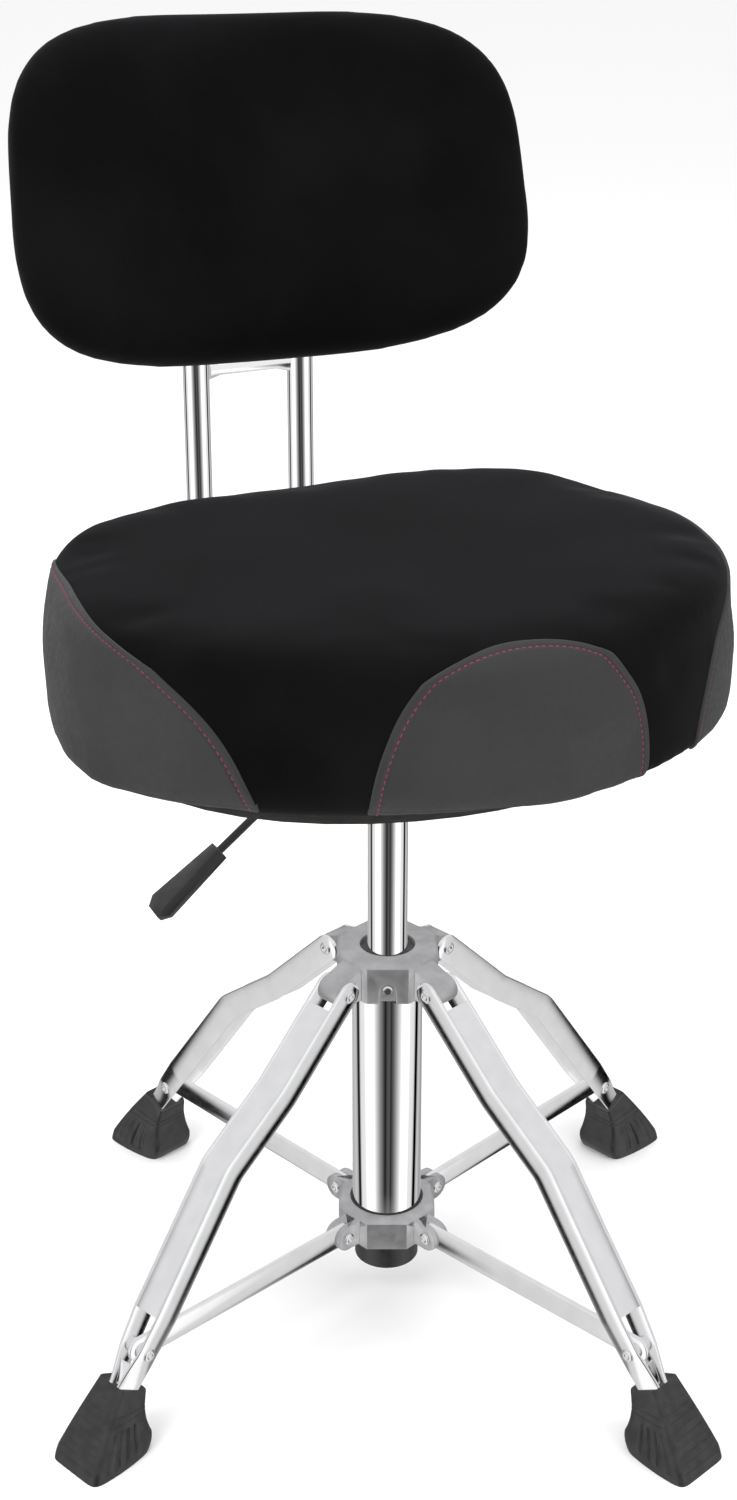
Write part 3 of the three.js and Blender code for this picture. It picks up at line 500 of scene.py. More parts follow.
def smooth_way(distance):
    """The leg's direction, averaged over a short stretch so that the bends shade smoothly."""
    near = along_leg(max(distance - 3, 0))[0]
    far = along_leg(min(distance + 3, leg_length))[0]
    return (far - near).normalized()


def channel_size(distance):
    """Half-width and half-depth of the channel at a distance along the leg."""
    blend = min(max((distance - rivet_at + TAPER) / (TAIL + TAPER), 0), 1)
    half_depth = EYE + (END_HALF - EYE) * blend
    if distance < 0:
        half_depth = math.sqrt(max(EYE**2 - distance**2, 0.01))
    return HALF_WIDTH + (END_HALF - HALF_WIDTH) * blend, half_depth


def pinched_width(distance, depth):
    """Half-width at a depth: below the brace the flanges' outer edges are pressed together."""
    half_width, half_depth = channel_size(distance)
    pinch = 0.42 * min(max((distance - rivet_at - 1) / 24, 0), 1)
    return half_width * (1 - pinch * (depth / half_depth + 1) / 2)


def flange_edge(step):
    """A step round a flange's section: share of its thickness, top or bottom, and inset."""
    turn = math.pi * (step % 7) / 6
    if step < 7:
        return 0.5 - 0.5 * math.cos(turn), 1, 1 - math.sin(turn)
    return 0.5 + 0.5 * math.cos(turn), -1, 0.5 - 0.5 * math.sin(turn)


def leg_place(distance, depth, across):
    """A point of the leg, in the plane that the leg stands in."""
    point, _ = along_leg(max(distance, 0))
    way = smooth_way(max(distance, 0))
    point = point + way * min(distance, 0) + Vector((-way.y, way.x)) * depth
    return Vector((point.x, across, point.y)) * MM


def leg_stations(start, end):
    """Distances along the leg, closest where it bends and where its end is round."""
    eye = [-EYE * math.cos(i * math.pi / 20) for i in range(11)]
    taper = [rivet_at - TAPER + i * 4 for i in range(19)]
    every = eye + walked[1:] + taper + [start, end]
    return sorted({round(s, 3) for s in every if start <= s <= end})


def sheet(columns, rows, place):
    """A sheet of quads: place(column, row) gives each point."""
    bm = bmesh.new()
    bmesh.ops.create_grid(bm, x_segments=columns, y_segments=rows, size=0.5)
    for vert in bm.verts:
        column, row = (vert.co.x + 0.5) * columns, (vert.co.y + 0.5) * rows
        vert.co = place(round(column), round(row))
    return bm


def flange(hand):
    """One side of the channel: a bar of the sheet's thickness, with its edges rounded."""
    stations = leg_stations(-EYE, leg_length)

    def place(column, row):
        thick, end, inset = flange_edge(row % 14)
        half_depth = channel_size(stations[column])[1]
        depth = end * (half_depth - min(inset, half_depth * 0.9))
        across = hand * (pinched_width(stations[column], depth) - SHEET * (1 - thick))
        return leg_place(stations[column], depth, across)

    bm = sheet(len(stations) - 1, 14, place)
    bmesh.ops.remove_doubles(bm, verts=bm.verts, dist=1e-6)
    bmesh.ops.holes_fill(bm, edges=bm.edges, sides=0)
    bmesh.ops.recalc_face_normals(bm, faces=bm.faces)
    return bm


def facing_up(bm, face):
    """Turns an open sheet's faces all one way, with the given face upwards."""
    bmesh.ops.recalc_face_normals(bm, faces=bm.faces)
    if face.normal.z < 0:
        bmesh.ops.reverse_faces(bm, faces=bm.faces)
    return bm


def web():
    """The sheet between the flanges, set in a little from their outer edges."""
    stations = leg_stations(WEB_FROM, WEB_TO)

    def place(column, row):
        half_width, half_depth = channel_size(stations[column])
        across = (row - 1) * (half_width - SHEET + 0.4)
        return leg_place(stations[column], half_depth - WEB_IN, across)

    bm = sheet(len(stations) - 1, 2, place)
    return facing_up(bm, next(iter(bm.faces)))


def settle(piece):
    """Applies a piece's modifiers to its mesh."""
    bpy.context.view_layer.update()
    shaped = piece.evaluated_get(bpy.context.evaluated_depsgraph_get())
    done = bpy.data.meshes.new_from_object(shaped)
    piece.modifiers.clear()
    piece.data = done
    done.shade_smooth()
    done.set_sharp_from_angle(angle=math.radians(38))
    return piece


def pressed_sheet(bm, name, finish, thickness, edge):
    """A sheet given its thickness inwards, with its cut edges just rounded."""
    piece = link_piece(bm, name, finish)
    wall = piece.modifiers.new("wall", "SOLIDIFY")
    wall.thickness = thickness * MM
    wall.offset = -1
    rim = piece.modifiers.new("rim", "BEVEL")
    rim.width = edge * MM
    rim.segments = 2
    rim.limit_method = "ANGLE"
    rim.angle_limit = math.radians(50)
    return settle(piece)


def stiffener():
    """The creased plate pressed between the flanges, from under the brace to the foot."""
    start, end = rivet_at + 11, rivet_at + 30

    def place(column, row):
        down, side = column / 10, row / 4 - 1
        distance = start + (end - start) * down
        crease = -0.75 + 0.75 * down
        fold = 1 - abs(side - crease) / (1 + abs(crease))
        depth = channel_size(distance)[1] - 6.5 + 4.5 * fold * (1 - down)
        return leg_place(distance, depth, side * (pinched_width(distance, depth) - SHEET))

    bm = sheet(10, 8, place)
    bmesh.ops.recalc_face_normals(bm, faces=bm.faces)
    return bm


def tubular_rivet(radius, head, shank, inner, outer, collar=None):
    """A rivet along Y from its inner end to its head's face, with the rolled hollow in the head."""
    start = [(0, inner), (shank, inner)]
    if collar:
        start = [(0, inner), (collar[0], inner), (collar[0], collar[1]), (shank, collar[1])]
    bm = turned(start + [
        (shank, outer - head), (radius, outer - head), (radius, outer - head * 0.45),
        (radius - 1.3, outer), (2.3, outer), (1.7, outer - 0.5), (1.5, outer - 1.5),
        (0, outer - 1.5),
    ], 32)
    bmesh.ops.rotate(bm, matrix=Matrix.Rotation(-math.pi / 2, 3, "X"), verts=bm.verts)
    return ease_edges(bm, 0.2, 2)


def stand_at(bm, azimuth, place=None, mirrored=False):
    """Moves a part made in the X-Z plane to its place out from the column, and turns it there."""
    if mirrored:
        bmesh.ops.scale(bm, vec=(1, -1, 1), verts=bm.verts)
        bmesh.ops.reverse_faces(bm, faces=bm.faces)
    if place is not None:
        bmesh.ops.translate(bm, vec=(place.x * MM, 0, place.y * MM), verts=bm.verts)
    bmesh.ops.rotate(bm, matrix=Matrix.Rotation(math.radians(azimuth), 3, "Z"), verts=bm.verts)
    return bm


for corner, azimuth in CORNERS.items():
    body = "leg_" + corner
    web_piece = pressed_sheet(web(), "web", steel, SHEET, 0.3)
    channel = bmesh.new()
    channel.from_mesh(web_piece.data)
    bpy.data.objects.remove(web_piece)
    for hand in (-1, 1):
        side = flange(hand)
        side_mesh = bpy.data.meshes.new("side")
        side.to_mesh(side_mesh)
        side.free()
        channel.from_mesh(side_mesh)
    channel = link_piece(stand_at(channel, azimuth), "leg_channel_" + corner, steel)
    fit(channel, body, "leg_steel", "leg_" + corner)
    plate = stand_at(stiffener(), azimuth)
    fit(pressed_sheet(plate, "leg_stiffener_" + corner, steel, 1.2, 0.3), body, "leg_steel")
    for hand, mirrored in HANDS:
        rivet = stand_at(tubular_rivet(4.8, 1.8, 3, 0, 14.1), azimuth, HUB_PIVOT, mirrored)
        rivet = link_piece(rivet, f"hub_rivet_{hand}_{corner}_head", zinc)
        fit(rivet, body, "fastener_steel", *([] if mirrored else ["hub_rivet_" + corner]))
        rivet = tubular_rivet(4.8, 1.6, 3, 2.3, 12.4, (5.5, 8.2))
        rivet = stand_at(rivet, azimuth, BRACE_RIVET, mirrored)
        rivet = link_piece(rivet, f"brace_rivet_{hand}_{corner}_head", zinc)
        fit(rivet, body, "fastener_steel", f"brace_rivet_{hand}_{corner}")

# ---------------------------------------------------------------- braces
# A flat steel bar with round ends links each leg to the lower hub. It is polished like the legs,
# and turns on a rivet at each end.

BRACE_HALF_WIDTH, BRACE_THICK = 8.75, 3.4


def brace_bar():
    length = (BRACE_RIVET - BRACE_PIVOT).length
    bm = bmesh.new()
    bmesh.ops.create_circle(bm, cap_ends=True, radius=BRACE_HALF_WIDTH * MM, segments=48)
    for vert in bm.verts:
        if vert.co.x > 0:
            vert.co.x += length * MM
    grown = bmesh.ops.extrude_face_region(bm, geom=bm.faces[:])["geom"]
    grown = [part for part in grown if isinstance(part, bmesh.types.BMVert)]
    bmesh.ops.translate(bm, vec=(0, 0, BRACE_THICK * MM), verts=grown)
    bmesh.ops.translate(bm, vec=(0, 0, -BRACE_THICK / 2 * MM), verts=bm.verts)
    bmesh.ops.recalc_face_normals(bm, faces=bm.faces)
    ease_edges(bm, 0.7, 3, over=60)
    bmesh.ops.rotate(bm, matrix=Matrix.Rotation(math.pi / 2, 3, "X"), verts=bm.verts)
    rise = math.atan2(BRACE_RIVET.y - BRACE_PIVOT.y, BRACE_RIVET.x - BRACE_PIVOT.x)
    bmesh.ops.rotate(bm, matrix=Matrix.Rotation(-rise, 3, "Y"), verts=bm.verts)
    return bm


for corner, azimuth in CORNERS.items():
    body = "brace_" + corner
    bar = link_piece(stand_at(brace_bar(), azimuth, BRACE_PIVOT), "brace_bar_" + corner, steel)
    fit(bar, body, "leg_steel", "brace_" + corner)
    for hand, mirrored in HANDS:
        pin = stand_at(tubular_rivet(4.3, 1.6, 2.6, 0, 9.1), azimuth, BRACE_PIVOT, mirrored)
        pin = link_piece(pin, f"brace_pin_{hand}_{corner}_head", zinc)
        fit(pin, body, "fastener_steel", *([] if mirrored else ["brace_pin_" + corner]))

# ---------------------------------------------------------------- feet
# A thick rubber boot is pushed on each leg: ribbed across its sloping front, with two grooves
# round its sides and four up each flank, a hollow instep and a broad flat sole.

TOE, HEEL = 299.5, 239.5
TOE_HALF, HEEL_HALF, MOUTH_HALF = 24, 20, 13
MOUTH_INNER = BRACE_RIVET + leg_down * 22 - leg_out * 11
MOUTH_OUTER = BRACE_RIVET + leg_down * 26.5 + leg_out * 11
# Where the grooves are: heights across the front, heights round the sides, and places on a flank.
FRONT_GROOVES = [0.09 + i * 0.088 for i in range(9)]
ROUND_GROOVES = (0.6, 0.7)
FLANK_GROOVES = (0.62, 0.3, -0.02, -0.34)


def groove(value, centre, width):
    """How deep a rounded groove is at a value: 1 in its middle, 0 outside it."""
    reach = abs(value - centre) / (width / 2)
    return 0.5 + 0.5 * math.cos(math.pi * reach) if reach < 1 else 0.0


def between(value, low, high, soft):
    """1 between two bounds, 0 outside them, and a slope of a soft width at each."""
    return max(min((value - low) / soft, (high - value) / soft, 1), 0)


def boot_wall(height, fore, side):
    """A point of the boot: height is 0 to 1 from sole to mouth, and fore and side are -1 to 1."""
    outer = Vector((TOE, 3)).lerp(MOUTH_OUTER, height)
    inner = Vector((HEEL + 1, 9)).lerp(MOUTH_INNER, height)
    inner.x += math.sin(math.pi * min(height * 1.05, 1)) * 3.5
    outer.x += math.sin(math.pi * height) * 1.5
    low = max(1 - height / 0.12, 0)
    outer = outer + Vector((-0.8 * low**2, -3 * low))
    inner = inner + Vector((5.5 * low**2, -9 * low))
    toe_half = TOE_HALF + (MOUTH_HALF - TOE_HALF) * height
    heel_half = HEEL_HALF + (MOUTH_HALF - HEEL_HALF) * height**0.8
    blend = (fore + 1) / 2
    half = heel_half + (toe_half - heel_half) * blend + 2.2 * (1 - fore * fore) * (1 - height) ** 2
    half -= low**2
    place = inner.lerp(outer, blend)
    return Vector((place.x, side * half, place.y))


def rubber_boot():
    """The boot: a spun tube squared off, grooved, and closed by its sole and by its mouth."""
    rows, around, squareness = 150, 144, 9
    bm = spun([(1, 0, i / rows) for i in range(rows + 1)], around)
    for vert in bm.verts:
        height = vert.co.z
        turn = (math.atan2(vert.co.y, vert.co.x) / (math.pi / 2)) % 4
        quarter = int(turn + 0.5) % 4
        slide = (turn + 0.5) % 1 * 2 - 1
        fore, side = ((1, slide), (-slide, 1), (-1, -slide), (slide, -1))[quarter]
        rounding = (abs(fore) ** squareness + abs(side) ** squareness) ** (1 / squareness)
        fore, side = fore / rounding, side / rounding
        shrink = 0.0
        front = between(fore, 0.9, 1.2, 0.04) * between(abs(side), -0.1, 0.8, 0.05)
        flank = between(abs(side), 0.93, 1.2, 0.04) * between(fore, -1.2, 0.8, 0.05)
        rear = between(-fore, 0.9, 1.2, 0.04)
        for level in FRONT_GROOVES:
            shrink += 2.2 * front * groove(height, level, 0.036)
        for level in ROUND_GROOVES:
            shrink += 1.9 * flank * groove(height, level, 0.036)
            shrink += 1.9 * rear * groove(height, level, 0.036)
        for place in FLANK_GROOVES:
            shrink += 2.0 * flank * between(height, 0.05, 0.5, 0.02) * groove(fore, place, 0.15)
        point = boot_wall(height, fore, side)
        centre = boot_wall(height, 0, 0)
        inward = (centre - point).normalized()
        vert.co = (point + inward * shrink) * MM
    top = [e for e in bm.edges if e.is_boundary and e.verts[0].co.z > 30 * MM]
    sole = [e for e in bm.edges if e.is_boundary and e.verts[0].co.z <= 30 * MM]
    bmesh.ops.contextual_create(bm, geom=sole)
    lip = bmesh.ops.contextual_create(bm, geom=top)["faces"]
    bmesh.ops.inset_region(bm, faces=lip, thickness=3.2 * MM, use_even_offset=True)
    pushed = leg_down * 2.5 * MM
    middle = list({v for f in lip for v in f.verts})
    bmesh.ops.translate(bm, vec=(pushed.x, 0, pushed.y), verts=middle)
    bmesh.ops.recalc_face_normals(bm, faces=bm.faces)
    return bm


for corner, azimuth in CORNERS.items():
    boot = link_piece(stand_at(rubber_boot(), azimuth), "boot_" + corner, rubber)
    fit(boot, "leg_" + corner, "black_rubber", "foot_" + corner)

# ---------------------------------------------------------------- seat plate and board
# The plate is folded and welded steel, powder-coated black, and bolted up through a plywood board
# stained black. Its sleeve holds the gas cylinder's taper.

SEAT_TURN = Matrix.Rotation(math.radians(24), 4, "Z")


def powder_coat():
    made = matter("powder_coat", (0.022, 0.022, 0.023), 0.45)
    roughen(made, 120, 0.38, 0.56)
    relief(made, noise(made, 900, 2), 0.00008, 0.6)
    return made


def plywood_sheet():
    made = matter("plywood_sheet", (0.014, 0.012, 0.01), 0.7)
    grain = noise(made, 120, 5, stretch=(1, 0.06, 3))
    mottle(made, grain, (0.008, 0.007, 0.006), (0.02, 0.017, 0.014))
    relief(made, grain, 0.0001, 0.5)
    return made


coated = powder_coat()
plywood = plywood_sheet()
refined("seat_plate", "seat", "black_steel", coated, 0.6)
refined("seat_board", "seat", "plywood", plywood, 0.8)
for i in range(4):
    refined(f"plate_bolt_{i + 1}", "seat", "fastener_steel", zinc, 0.4)

# ---------------------------------------------------------------- seat cushion
# The seat is a thick moulded foam, covered in black velour. It is broad and round in front and
# narrower behind, and its rim is rolled over at the top.

SEAT_TOP, SEAT_BOTTOM = 577.0, 470.6
TOP_ROLL, BOTTOM_ROLL = 15.0, 6.0
WALL = SEAT_TOP - SEAT_BOTTOM - TOP_ROLL - BOTTOM_ROLL
OVER = TOP_ROLL * math.pi / 2
SEAT_HALF, SEAT_FRONT, SEAT_REAR, SEAT_SHIFT = 226, 215, 161, 17


def seat_outline(angle):
    """A point of the seat's outline, in the seat's own frame, with its front towards -Y."""
    c, s = math.cos(angle), math.sin(angle)
    depth, power = (SEAT_FRONT, 1.9) if s < 0 else (SEAT_REAR, 3.4)
    y = depth * math.copysign(abs(s) ** (2 / power), s)
    x = SEAT_HALF * math.copysign(abs(c) ** (2 / power), c)
    return Vector((x * (1 - 0.00085 * y), y + SEAT_SHIFT))


outline_points = [seat_outline(-math.pi / 2 + i * math.tau / 2880) for i in range(2880)]
outline_arc = [0.0]
for near, far in zip(outline_points, outline_points[1:] + outline_points[:1]):
    outline_arc.append(outline_arc[-1] + (far - near).length)
outline_length = outline_arc[-1]


def outline_at(arc):
    """The point and outward normal at a distance round the outline from the front's middle."""
    arc = arc % outline_length
    low, high = 0, len(outline_points)
    while high - low > 1:
        middle = (low + high) // 2
        if outline_arc[middle] <= arc:
            low = middle
        else:
            high = middle
    count = len(outline_points)
    near, far = outline_points[(low - 6) % count], outline_points[(low + 7) % count]
    way = (far - near).normalized()
    share = (arc - outline_arc[low]) / max(outline_arc[low + 1] - outline_arc[low], 1e-9)
    point = outline_points[low].lerp(outline_points[(low + 1) % count], share)
    return point, Vector((way.y, -way.x))


def rim(up):
    """Inset, height, and the normal's outward and upward shares, at a way up the seat's side."""
    if up < 0:
        c, s = math.cos(up / BOTTOM_ROLL), math.sin(up / BOTTOM_ROLL)
        return BOTTOM_ROLL * (1 - c), SEAT_BOTTOM + BOTTOM_ROLL * (1 + s), c, s
    if up < WALL:
        return 0.0, SEAT_BOTTOM + BOTTOM_ROLL + up, 1.0, 0.0
    if up < WALL + OVER:
        c, s = math.cos((up - WALL) / TOP_ROLL), math.sin((up - WALL) / TOP_ROLL)
        return TOP_ROLL * (1 - c), SEAT_TOP - TOP_ROLL * (1 - s), c, s
    return TOP_ROLL + up - WALL - OVER, SEAT_TOP, 0.0, 1.0


def ring_body(rings, place):
    """A closed body of rings: place(ring, angle) gives each point, and the end rings close it."""
    bm = spun([(1, 0, i) for i in range(len(rings))], 120)
    for vert in bm.verts:
        vert.co = place(rings[round(vert.co.z)], math.atan2(vert.co.y, vert.co.x)) * MM
    return merged(bm)


SLACK, CROWN = 0.5, 0.5
# Where the cover is pulled under more, in degrees round the seat, and by how much.
TUCK_FROM, TUCK_SPAN, TUCK = 200, 76, 24


def bottom_edge(angle):
    """The radius of the bottom edge: it is tucked under more beside the front panel."""
    share = (math.degrees(angle) % 360 - TUCK_FROM) / TUCK_SPAN
    return BOTTOM_ROLL + TUCK * math.sin(math.pi * min(max(share, 0), 1)) ** 0.7


def seat_foam():
    """The foam before its cover swells: a little small all round, and crowned on top."""
    rings = [("bottom", i / 4) for i in range(5)] + [("tuck", i / 5) for i in range(1, 6)]
    rings += [("wall", i / 6) for i in range(1, 7)] + [("roll", i / 8) for i in range(1, 9)]
    rings += [("top", 1 - i / 8) for i in range(1, 9)]

    def place(ring, angle):
        kind, share = ring
        step = round((angle + math.pi / 2) / math.tau * len(outline_points)) % len(outline_points)
        point, normal = outline_at(outline_arc[step])
        low_roll = bottom_edge(angle)
        turn = share * math.pi / 2
        inset, flat_share = 0.0, 1.0
        if kind == "bottom":
            inset, height, flat_share = low_roll, SEAT_BOTTOM, share
        elif kind == "tuck":
            inset = low_roll * (1 - math.sin(turn))
            height = SEAT_BOTTOM + low_roll * (1 - math.cos(turn))
        elif kind == "wall":
            height = SEAT_BOTTOM + low_roll + share * (SEAT_TOP - TOP_ROLL - SEAT_BOTTOM - low_roll)
        elif kind == "roll":
            inset = TOP_ROLL * (1 - math.cos(turn))
            height = SEAT_TOP - TOP_ROLL * (1 - math.sin(turn))
        else:
            inset, flat_share = TOP_ROLL, share
            height = SEAT_TOP + CROWN * (1 - share**2)
        centre = Vector((0, SEAT_SHIFT))
        flat = centre + (point - normal * (inset + SLACK) - centre) * flat_share
        height = max(height, SEAT_BOTTOM + 0.2)
        if height > SEAT_BOTTOM + 40:
            height -= SLACK
        return Vector((flat.x, flat.y, height))

    return ring_body(rings, place)


def black_velour():
    made = matter("black_velour", (0.008, 0.008, 0.009), 0.85)
    mottle(made, noise(made, 9, 4), (0.0022, 0.0022, 0.0024), (0.0045, 0.0045, 0.005))
    relief(made, noise(made, 1500, 4), 0.0003, 0.55)
    shader = made.node_tree.nodes["Principled BSDF"]
    shader.inputs["Specular IOR Level"].default_value = 0.06
    shader.inputs["Sheen Weight"].default_value = 0.045
    shader.inputs["Sheen Roughness"].default_value = 0.35
    shader.inputs["Sheen Tint"].default_value = (0.75, 0.77, 0.85, 1)
    return made


velour = black_velour()


def swell(piece, voxel, pressure, limit, pinned):
    """Covers a foam shape: remeshes it, swells it as cloth with air in it, and smooths it.

    Its quads and its furthest swelling are in millimetres, and pinned says what stays still.
    """
    remesh = piece.modifiers.new("remesh", "REMESH")
    remesh.mode = "VOXEL"
    remesh.voxel_size = voxel * MM
    settle(piece)
    before = [v.co.copy() for v in piece.data.vertices]
    held = piece.vertex_groups.new(name="held")
    held.add([i for i, co in enumerate(before) if pinned(co)], 1.0, "REPLACE")
    cloth = piece.modifiers.new("cover", "CLOTH").settings
    cloth.quality = 4
    cloth.use_pressure = True
    cloth.uniform_pressure_force = pressure
    cloth.effector_weights.gravity = 0
    cloth.tension_stiffness = 30
    cloth.compression_stiffness = 30
    cloth.bending_stiffness = 3
    cloth.vertex_group_mass = "held"
    for step in range(1, 21):
        scene.frame_set(step)
    swollen = piece.evaluated_get(bpy.context.evaluated_depsgraph_get()).data
    moved = [v.co.copy() for v in swollen.vertices]
    piece.modifiers.clear()
    scene.frame_set(1)
    for vert, start, end in zip(piece.data.vertices, before, moved):
        step = end - start
        if step.length > limit * MM:
            step = step.normalized() * limit * MM
        vert.co = start + step
    bm = bmesh.new()
    bm.from_mesh(piece.data)
    for _ in range(4):
        bmesh.ops.smooth_vert(
            bm, verts=bm.verts, factor=0.5, use_axis_x=True, use_axis_y=True, use_axis_z=True,
        )
    bm.to_mesh(piece.data)
    bm.free()
    finer = piece.modifiers.new("finer", "SUBSURF")
    finer.levels = finer.render_levels = 1
    settle(piece)


seat_cover = link_piece(seat_foam(), "seat_velour", velour)
swell(seat_cover, 6, 4, 4, lambda co: co.z < (SEAT_BOTTOM + 4) * MM)
seat_skin = BVHTree.FromPolygons(
    [v.co.copy() for v in seat_cover.data.vertices],
    [tuple(p.vertices) for p in seat_cover.data.polygons],
)
seat_cover.data.transform(SEAT_TURN)
fit(seat_cover, "seat", "upholstery", "seat_cushion")

# ---------------------------------------------------------------- vinyl panels
# Three grey vinyl panels are sewn round the seat's side, one in front and one on each side. Each is
# an arch with its edge folded under, sewn down with crimson thread 6 mm in from the fold.

PANELS = {
    "front": {"centre": 0.0, "half": 97.0, "height": 113.0, "power": 2.15},
    "right": {"centre": 338.0, "half": 188.0, "height": 111.0, "power": 2.05},
    "left": {"centre": -348.0, "half": 183.0, "height": 111.0, "power": 2.05},
}
SEAM = 6.0
# How far the vinyl stands off the velour, by the distance in from its edge.
FOLD = [
    (0, -0.8), (0.3, 0.5), (0.9, 1.3), (1.8, 1.6), (4.4, 1.5), (5.3, 1.0), (6.0, 0.5), (6.7, 0.9),
    (8, 1.2), (10, 1.1),
]
# The panels run on under the seat's bottom edge by this much.
TURNED_UNDER = 8


def on_seat(arc, up, lift):
    """A point on the swollen seat, a lift off its surface, with the surface's normal."""
    point, normal = outline_at(arc)
    inset, height, outward, upward = rim(up)
    flat = point - normal * inset
    facing = Vector((normal.x * outward, normal.y * outward, upward))
    start = Vector((flat.x, flat.y, height)) * MM + facing * 0.03
    hit, _, _, _ = seat_skin.ray_cast(start, -facing, 0.06)
    if hit is None:
        hit = start - facing * 0.03
    return hit + facing * lift * MM, facing


def arch_point(panel, angle, inset, scale=1.0):
    """A point of the panel's arch, in from its edge: distance round the seat and up its side."""
    half, height, power = panel["half"], panel["height"], panel["power"]
    c, s = math.cos(angle), math.sin(angle)
    across = math.copysign(abs(c) ** (2 / power), c) * (half - inset) * scale
    up = abs(s) ** (2 / power) * (height - inset + TURNED_UNDER) * scale - TURNED_UNDER
    return panel["centre"] - across, up


def cells(made, scale):
    """A fine pattern of rounded cells, on the piece's own coordinates."""
    nodes = made.node_tree.nodes
    place = nodes.new("ShaderNodeTexCoord")
    grain = nodes.new("ShaderNodeTexVoronoi")
    grain.inputs["Scale"].default_value = scale
    made.node_tree.links.new(place.outputs["Object"], grain.inputs["Vector"])
    return grain.outputs["Distance"]


def vinyl_skin():
    made = matter("grey_vinyl", (0.05, 0.05, 0.052), 0.5)
    mottle(made, noise(made, 14, 3), (0.024, 0.024, 0.025), (0.030, 0.030, 0.031))
    relief(made, cells(made, 900), 0.00012, 0.45)
    roughen(made, 220, 0.42, 0.56)
    made.node_tree.nodes["Principled BSDF"].inputs["Specular IOR Level"].default_value = 0.25
    return made


def crimson_thread():
    made = matter("crimson_thread", (0.24, 0.015, 0.05), 0.7)
    mottle(made, noise(made, 3000, 2), (0.16, 0.010, 0.035), (0.33, 0.03, 0.08))
    return made


vinyl = vinyl_skin()
thread = crimson_thread()


def fold_lift(inset):
    """How far the vinyl stands off at a distance in from its edge."""
    for (near, low), (far, high) in zip(FOLD, FOLD[1:]):
        if inset <= far:
            return low + (high - low) * (inset - near) / (far - near)
    return 1.1


def vinyl_panel(panel):
    """One panel: rings that follow its edge across the fold, and then close in on its middle."""
    insets = [
        0, 0.15, 0.3, 0.6, 0.9, 1.3, 1.8, 2.6, 3.5, 4.4, 4.9, 5.3, 5.7, 6, 6.3, 6.7, 7.3, 8, 9, 10,
    ]
    scales = [1 - i / 16 for i in range(1, 16)] + [0.02]
    rings = [(inset, 1.0) for inset in insets] + [(10, scale) for scale in scales]
    columns = 150

    def place(column, row):
        inset, scale = rings[row]
        arc, up = arch_point(panel, column / columns * math.pi, inset, scale)
        return on_seat(arc, up, fold_lift(inset) if scale == 1.0 else 1.1)[0]

    bm = sheet(columns, len(rings) - 1, place)
    return facing_up(bm, max(bm.faces, key=lambda face: face.calc_center_median().z))


def stitches(panel):
    """A row of short stitches, each a rounded grain of thread lying along the seam."""
    steps = 1500
    line = []
    for i in range(steps + 1):
        arc, up = arch_point(panel, i / steps * math.pi, SEAM)
        if up > -4:
            line.append(on_seat(arc, up, 0.75))
    bm = bmesh.new()
    gone, pitch = 0.0, 4.4 * MM
    for (near, facing), (far, _) in zip(line, line[1:]):
        gone += (far - near).length
        if gone < pitch:
            continue
        gone -= pitch
        way = (far - near).normalized()
        side = facing.cross(way).normalized()
        grain = bmesh.ops.create_uvsphere(bm, u_segments=8, v_segments=6, radius=1)["verts"]
        turn = Matrix((way, side, facing)).transposed().to_4x4()
        bmesh.ops.scale(bm, vec=(1.6 * MM, 0.42 * MM, 0.36 * MM), verts=grain)
        bmesh.ops.transform(bm, matrix=Matrix.Translation(near) @ turn, verts=grain)
    return bm


for name, panel in PANELS.items():
    skin = link_piece(vinyl_panel(panel), f"vinyl_panel_{name}", vinyl)
    skin.data.transform(SEAT_TURN)
    fit(skin, "seat", "upholstery")
    seam = link_piece(stitches(panel), f"stitching_{name}", thread)
    seam.data.transform(SEAT_TURN)
    fit(seam, "seat", "upholstery")

# ---------------------------------------------------------------- lift lever
# A bent rod with a moulded grip comes out of the seat plate on the sitter's right, and works the
# valve when it is lifted.


def bent_bar(corners, radius, bend, name, finish, wall=0.0, sides=10):
    """A round bar or tube through corners in millimetres, with each bend an arc."""
    path = bpy.data.curves.new(name, "CURVE")
    path.dimensions = "3D"
    path.bevel_depth = radius * MM
    path.bevel_resolution = sides
    path.use_fill_caps = wall == 0
    points = rounded_line([Vector(c) for c in corners], bend, 16)
    spline = path.splines.new("POLY")
    spline.points.add(len(points) - 1)
    for knot, point in zip(spline.points, points):
        knot.co = (*(point * MM), 1)
    rough = bpy.data.objects.new(name + "_path", path)
    mesh = bpy.data.meshes.new_from_object(rough)
    bpy.data.objects.remove(rough)
    bm = bmesh.new()
    bm.from_mesh(mesh)
    bm = merged(bm)
    piece = pressed_sheet(bm, name, finish, wall, 0.4) if wall else link_piece(bm, name, finish)
    piece.data.transform(SEAT_TURN)
    return piece


lever_rod = bent_bar(
    [(5, 0, 450.0), (-40, 0, 450.0), (-139, 0, 371.5)], 2.75, 9, "lever_rod_bar", plastic,
)
fit(lever_rod, "lever", "black_plastic", "lever_rod")
refined("lever_handle", "lever", "black_plastic", plastic, 1.1)

# ---------------------------------------------------------------- backrest frame
# Two bent chromed tubes carry the backrest. They are clamped under the seat board by one bolt, and
# tied by a bar welded between them.

TUBE_RADIUS, TUBE_APART, TUBE_BACK, TUBE_LOW = 9.5, 40.5, 248.0, 446.7
KINK, LEAN = 668.0, math.radians(15)
PAD_MIDDLE = 771
TUBE_END = (PAD_MIDDLE - KINK) / math.cos(LEAN) + 62
CROSSBAR_UP = 640.5

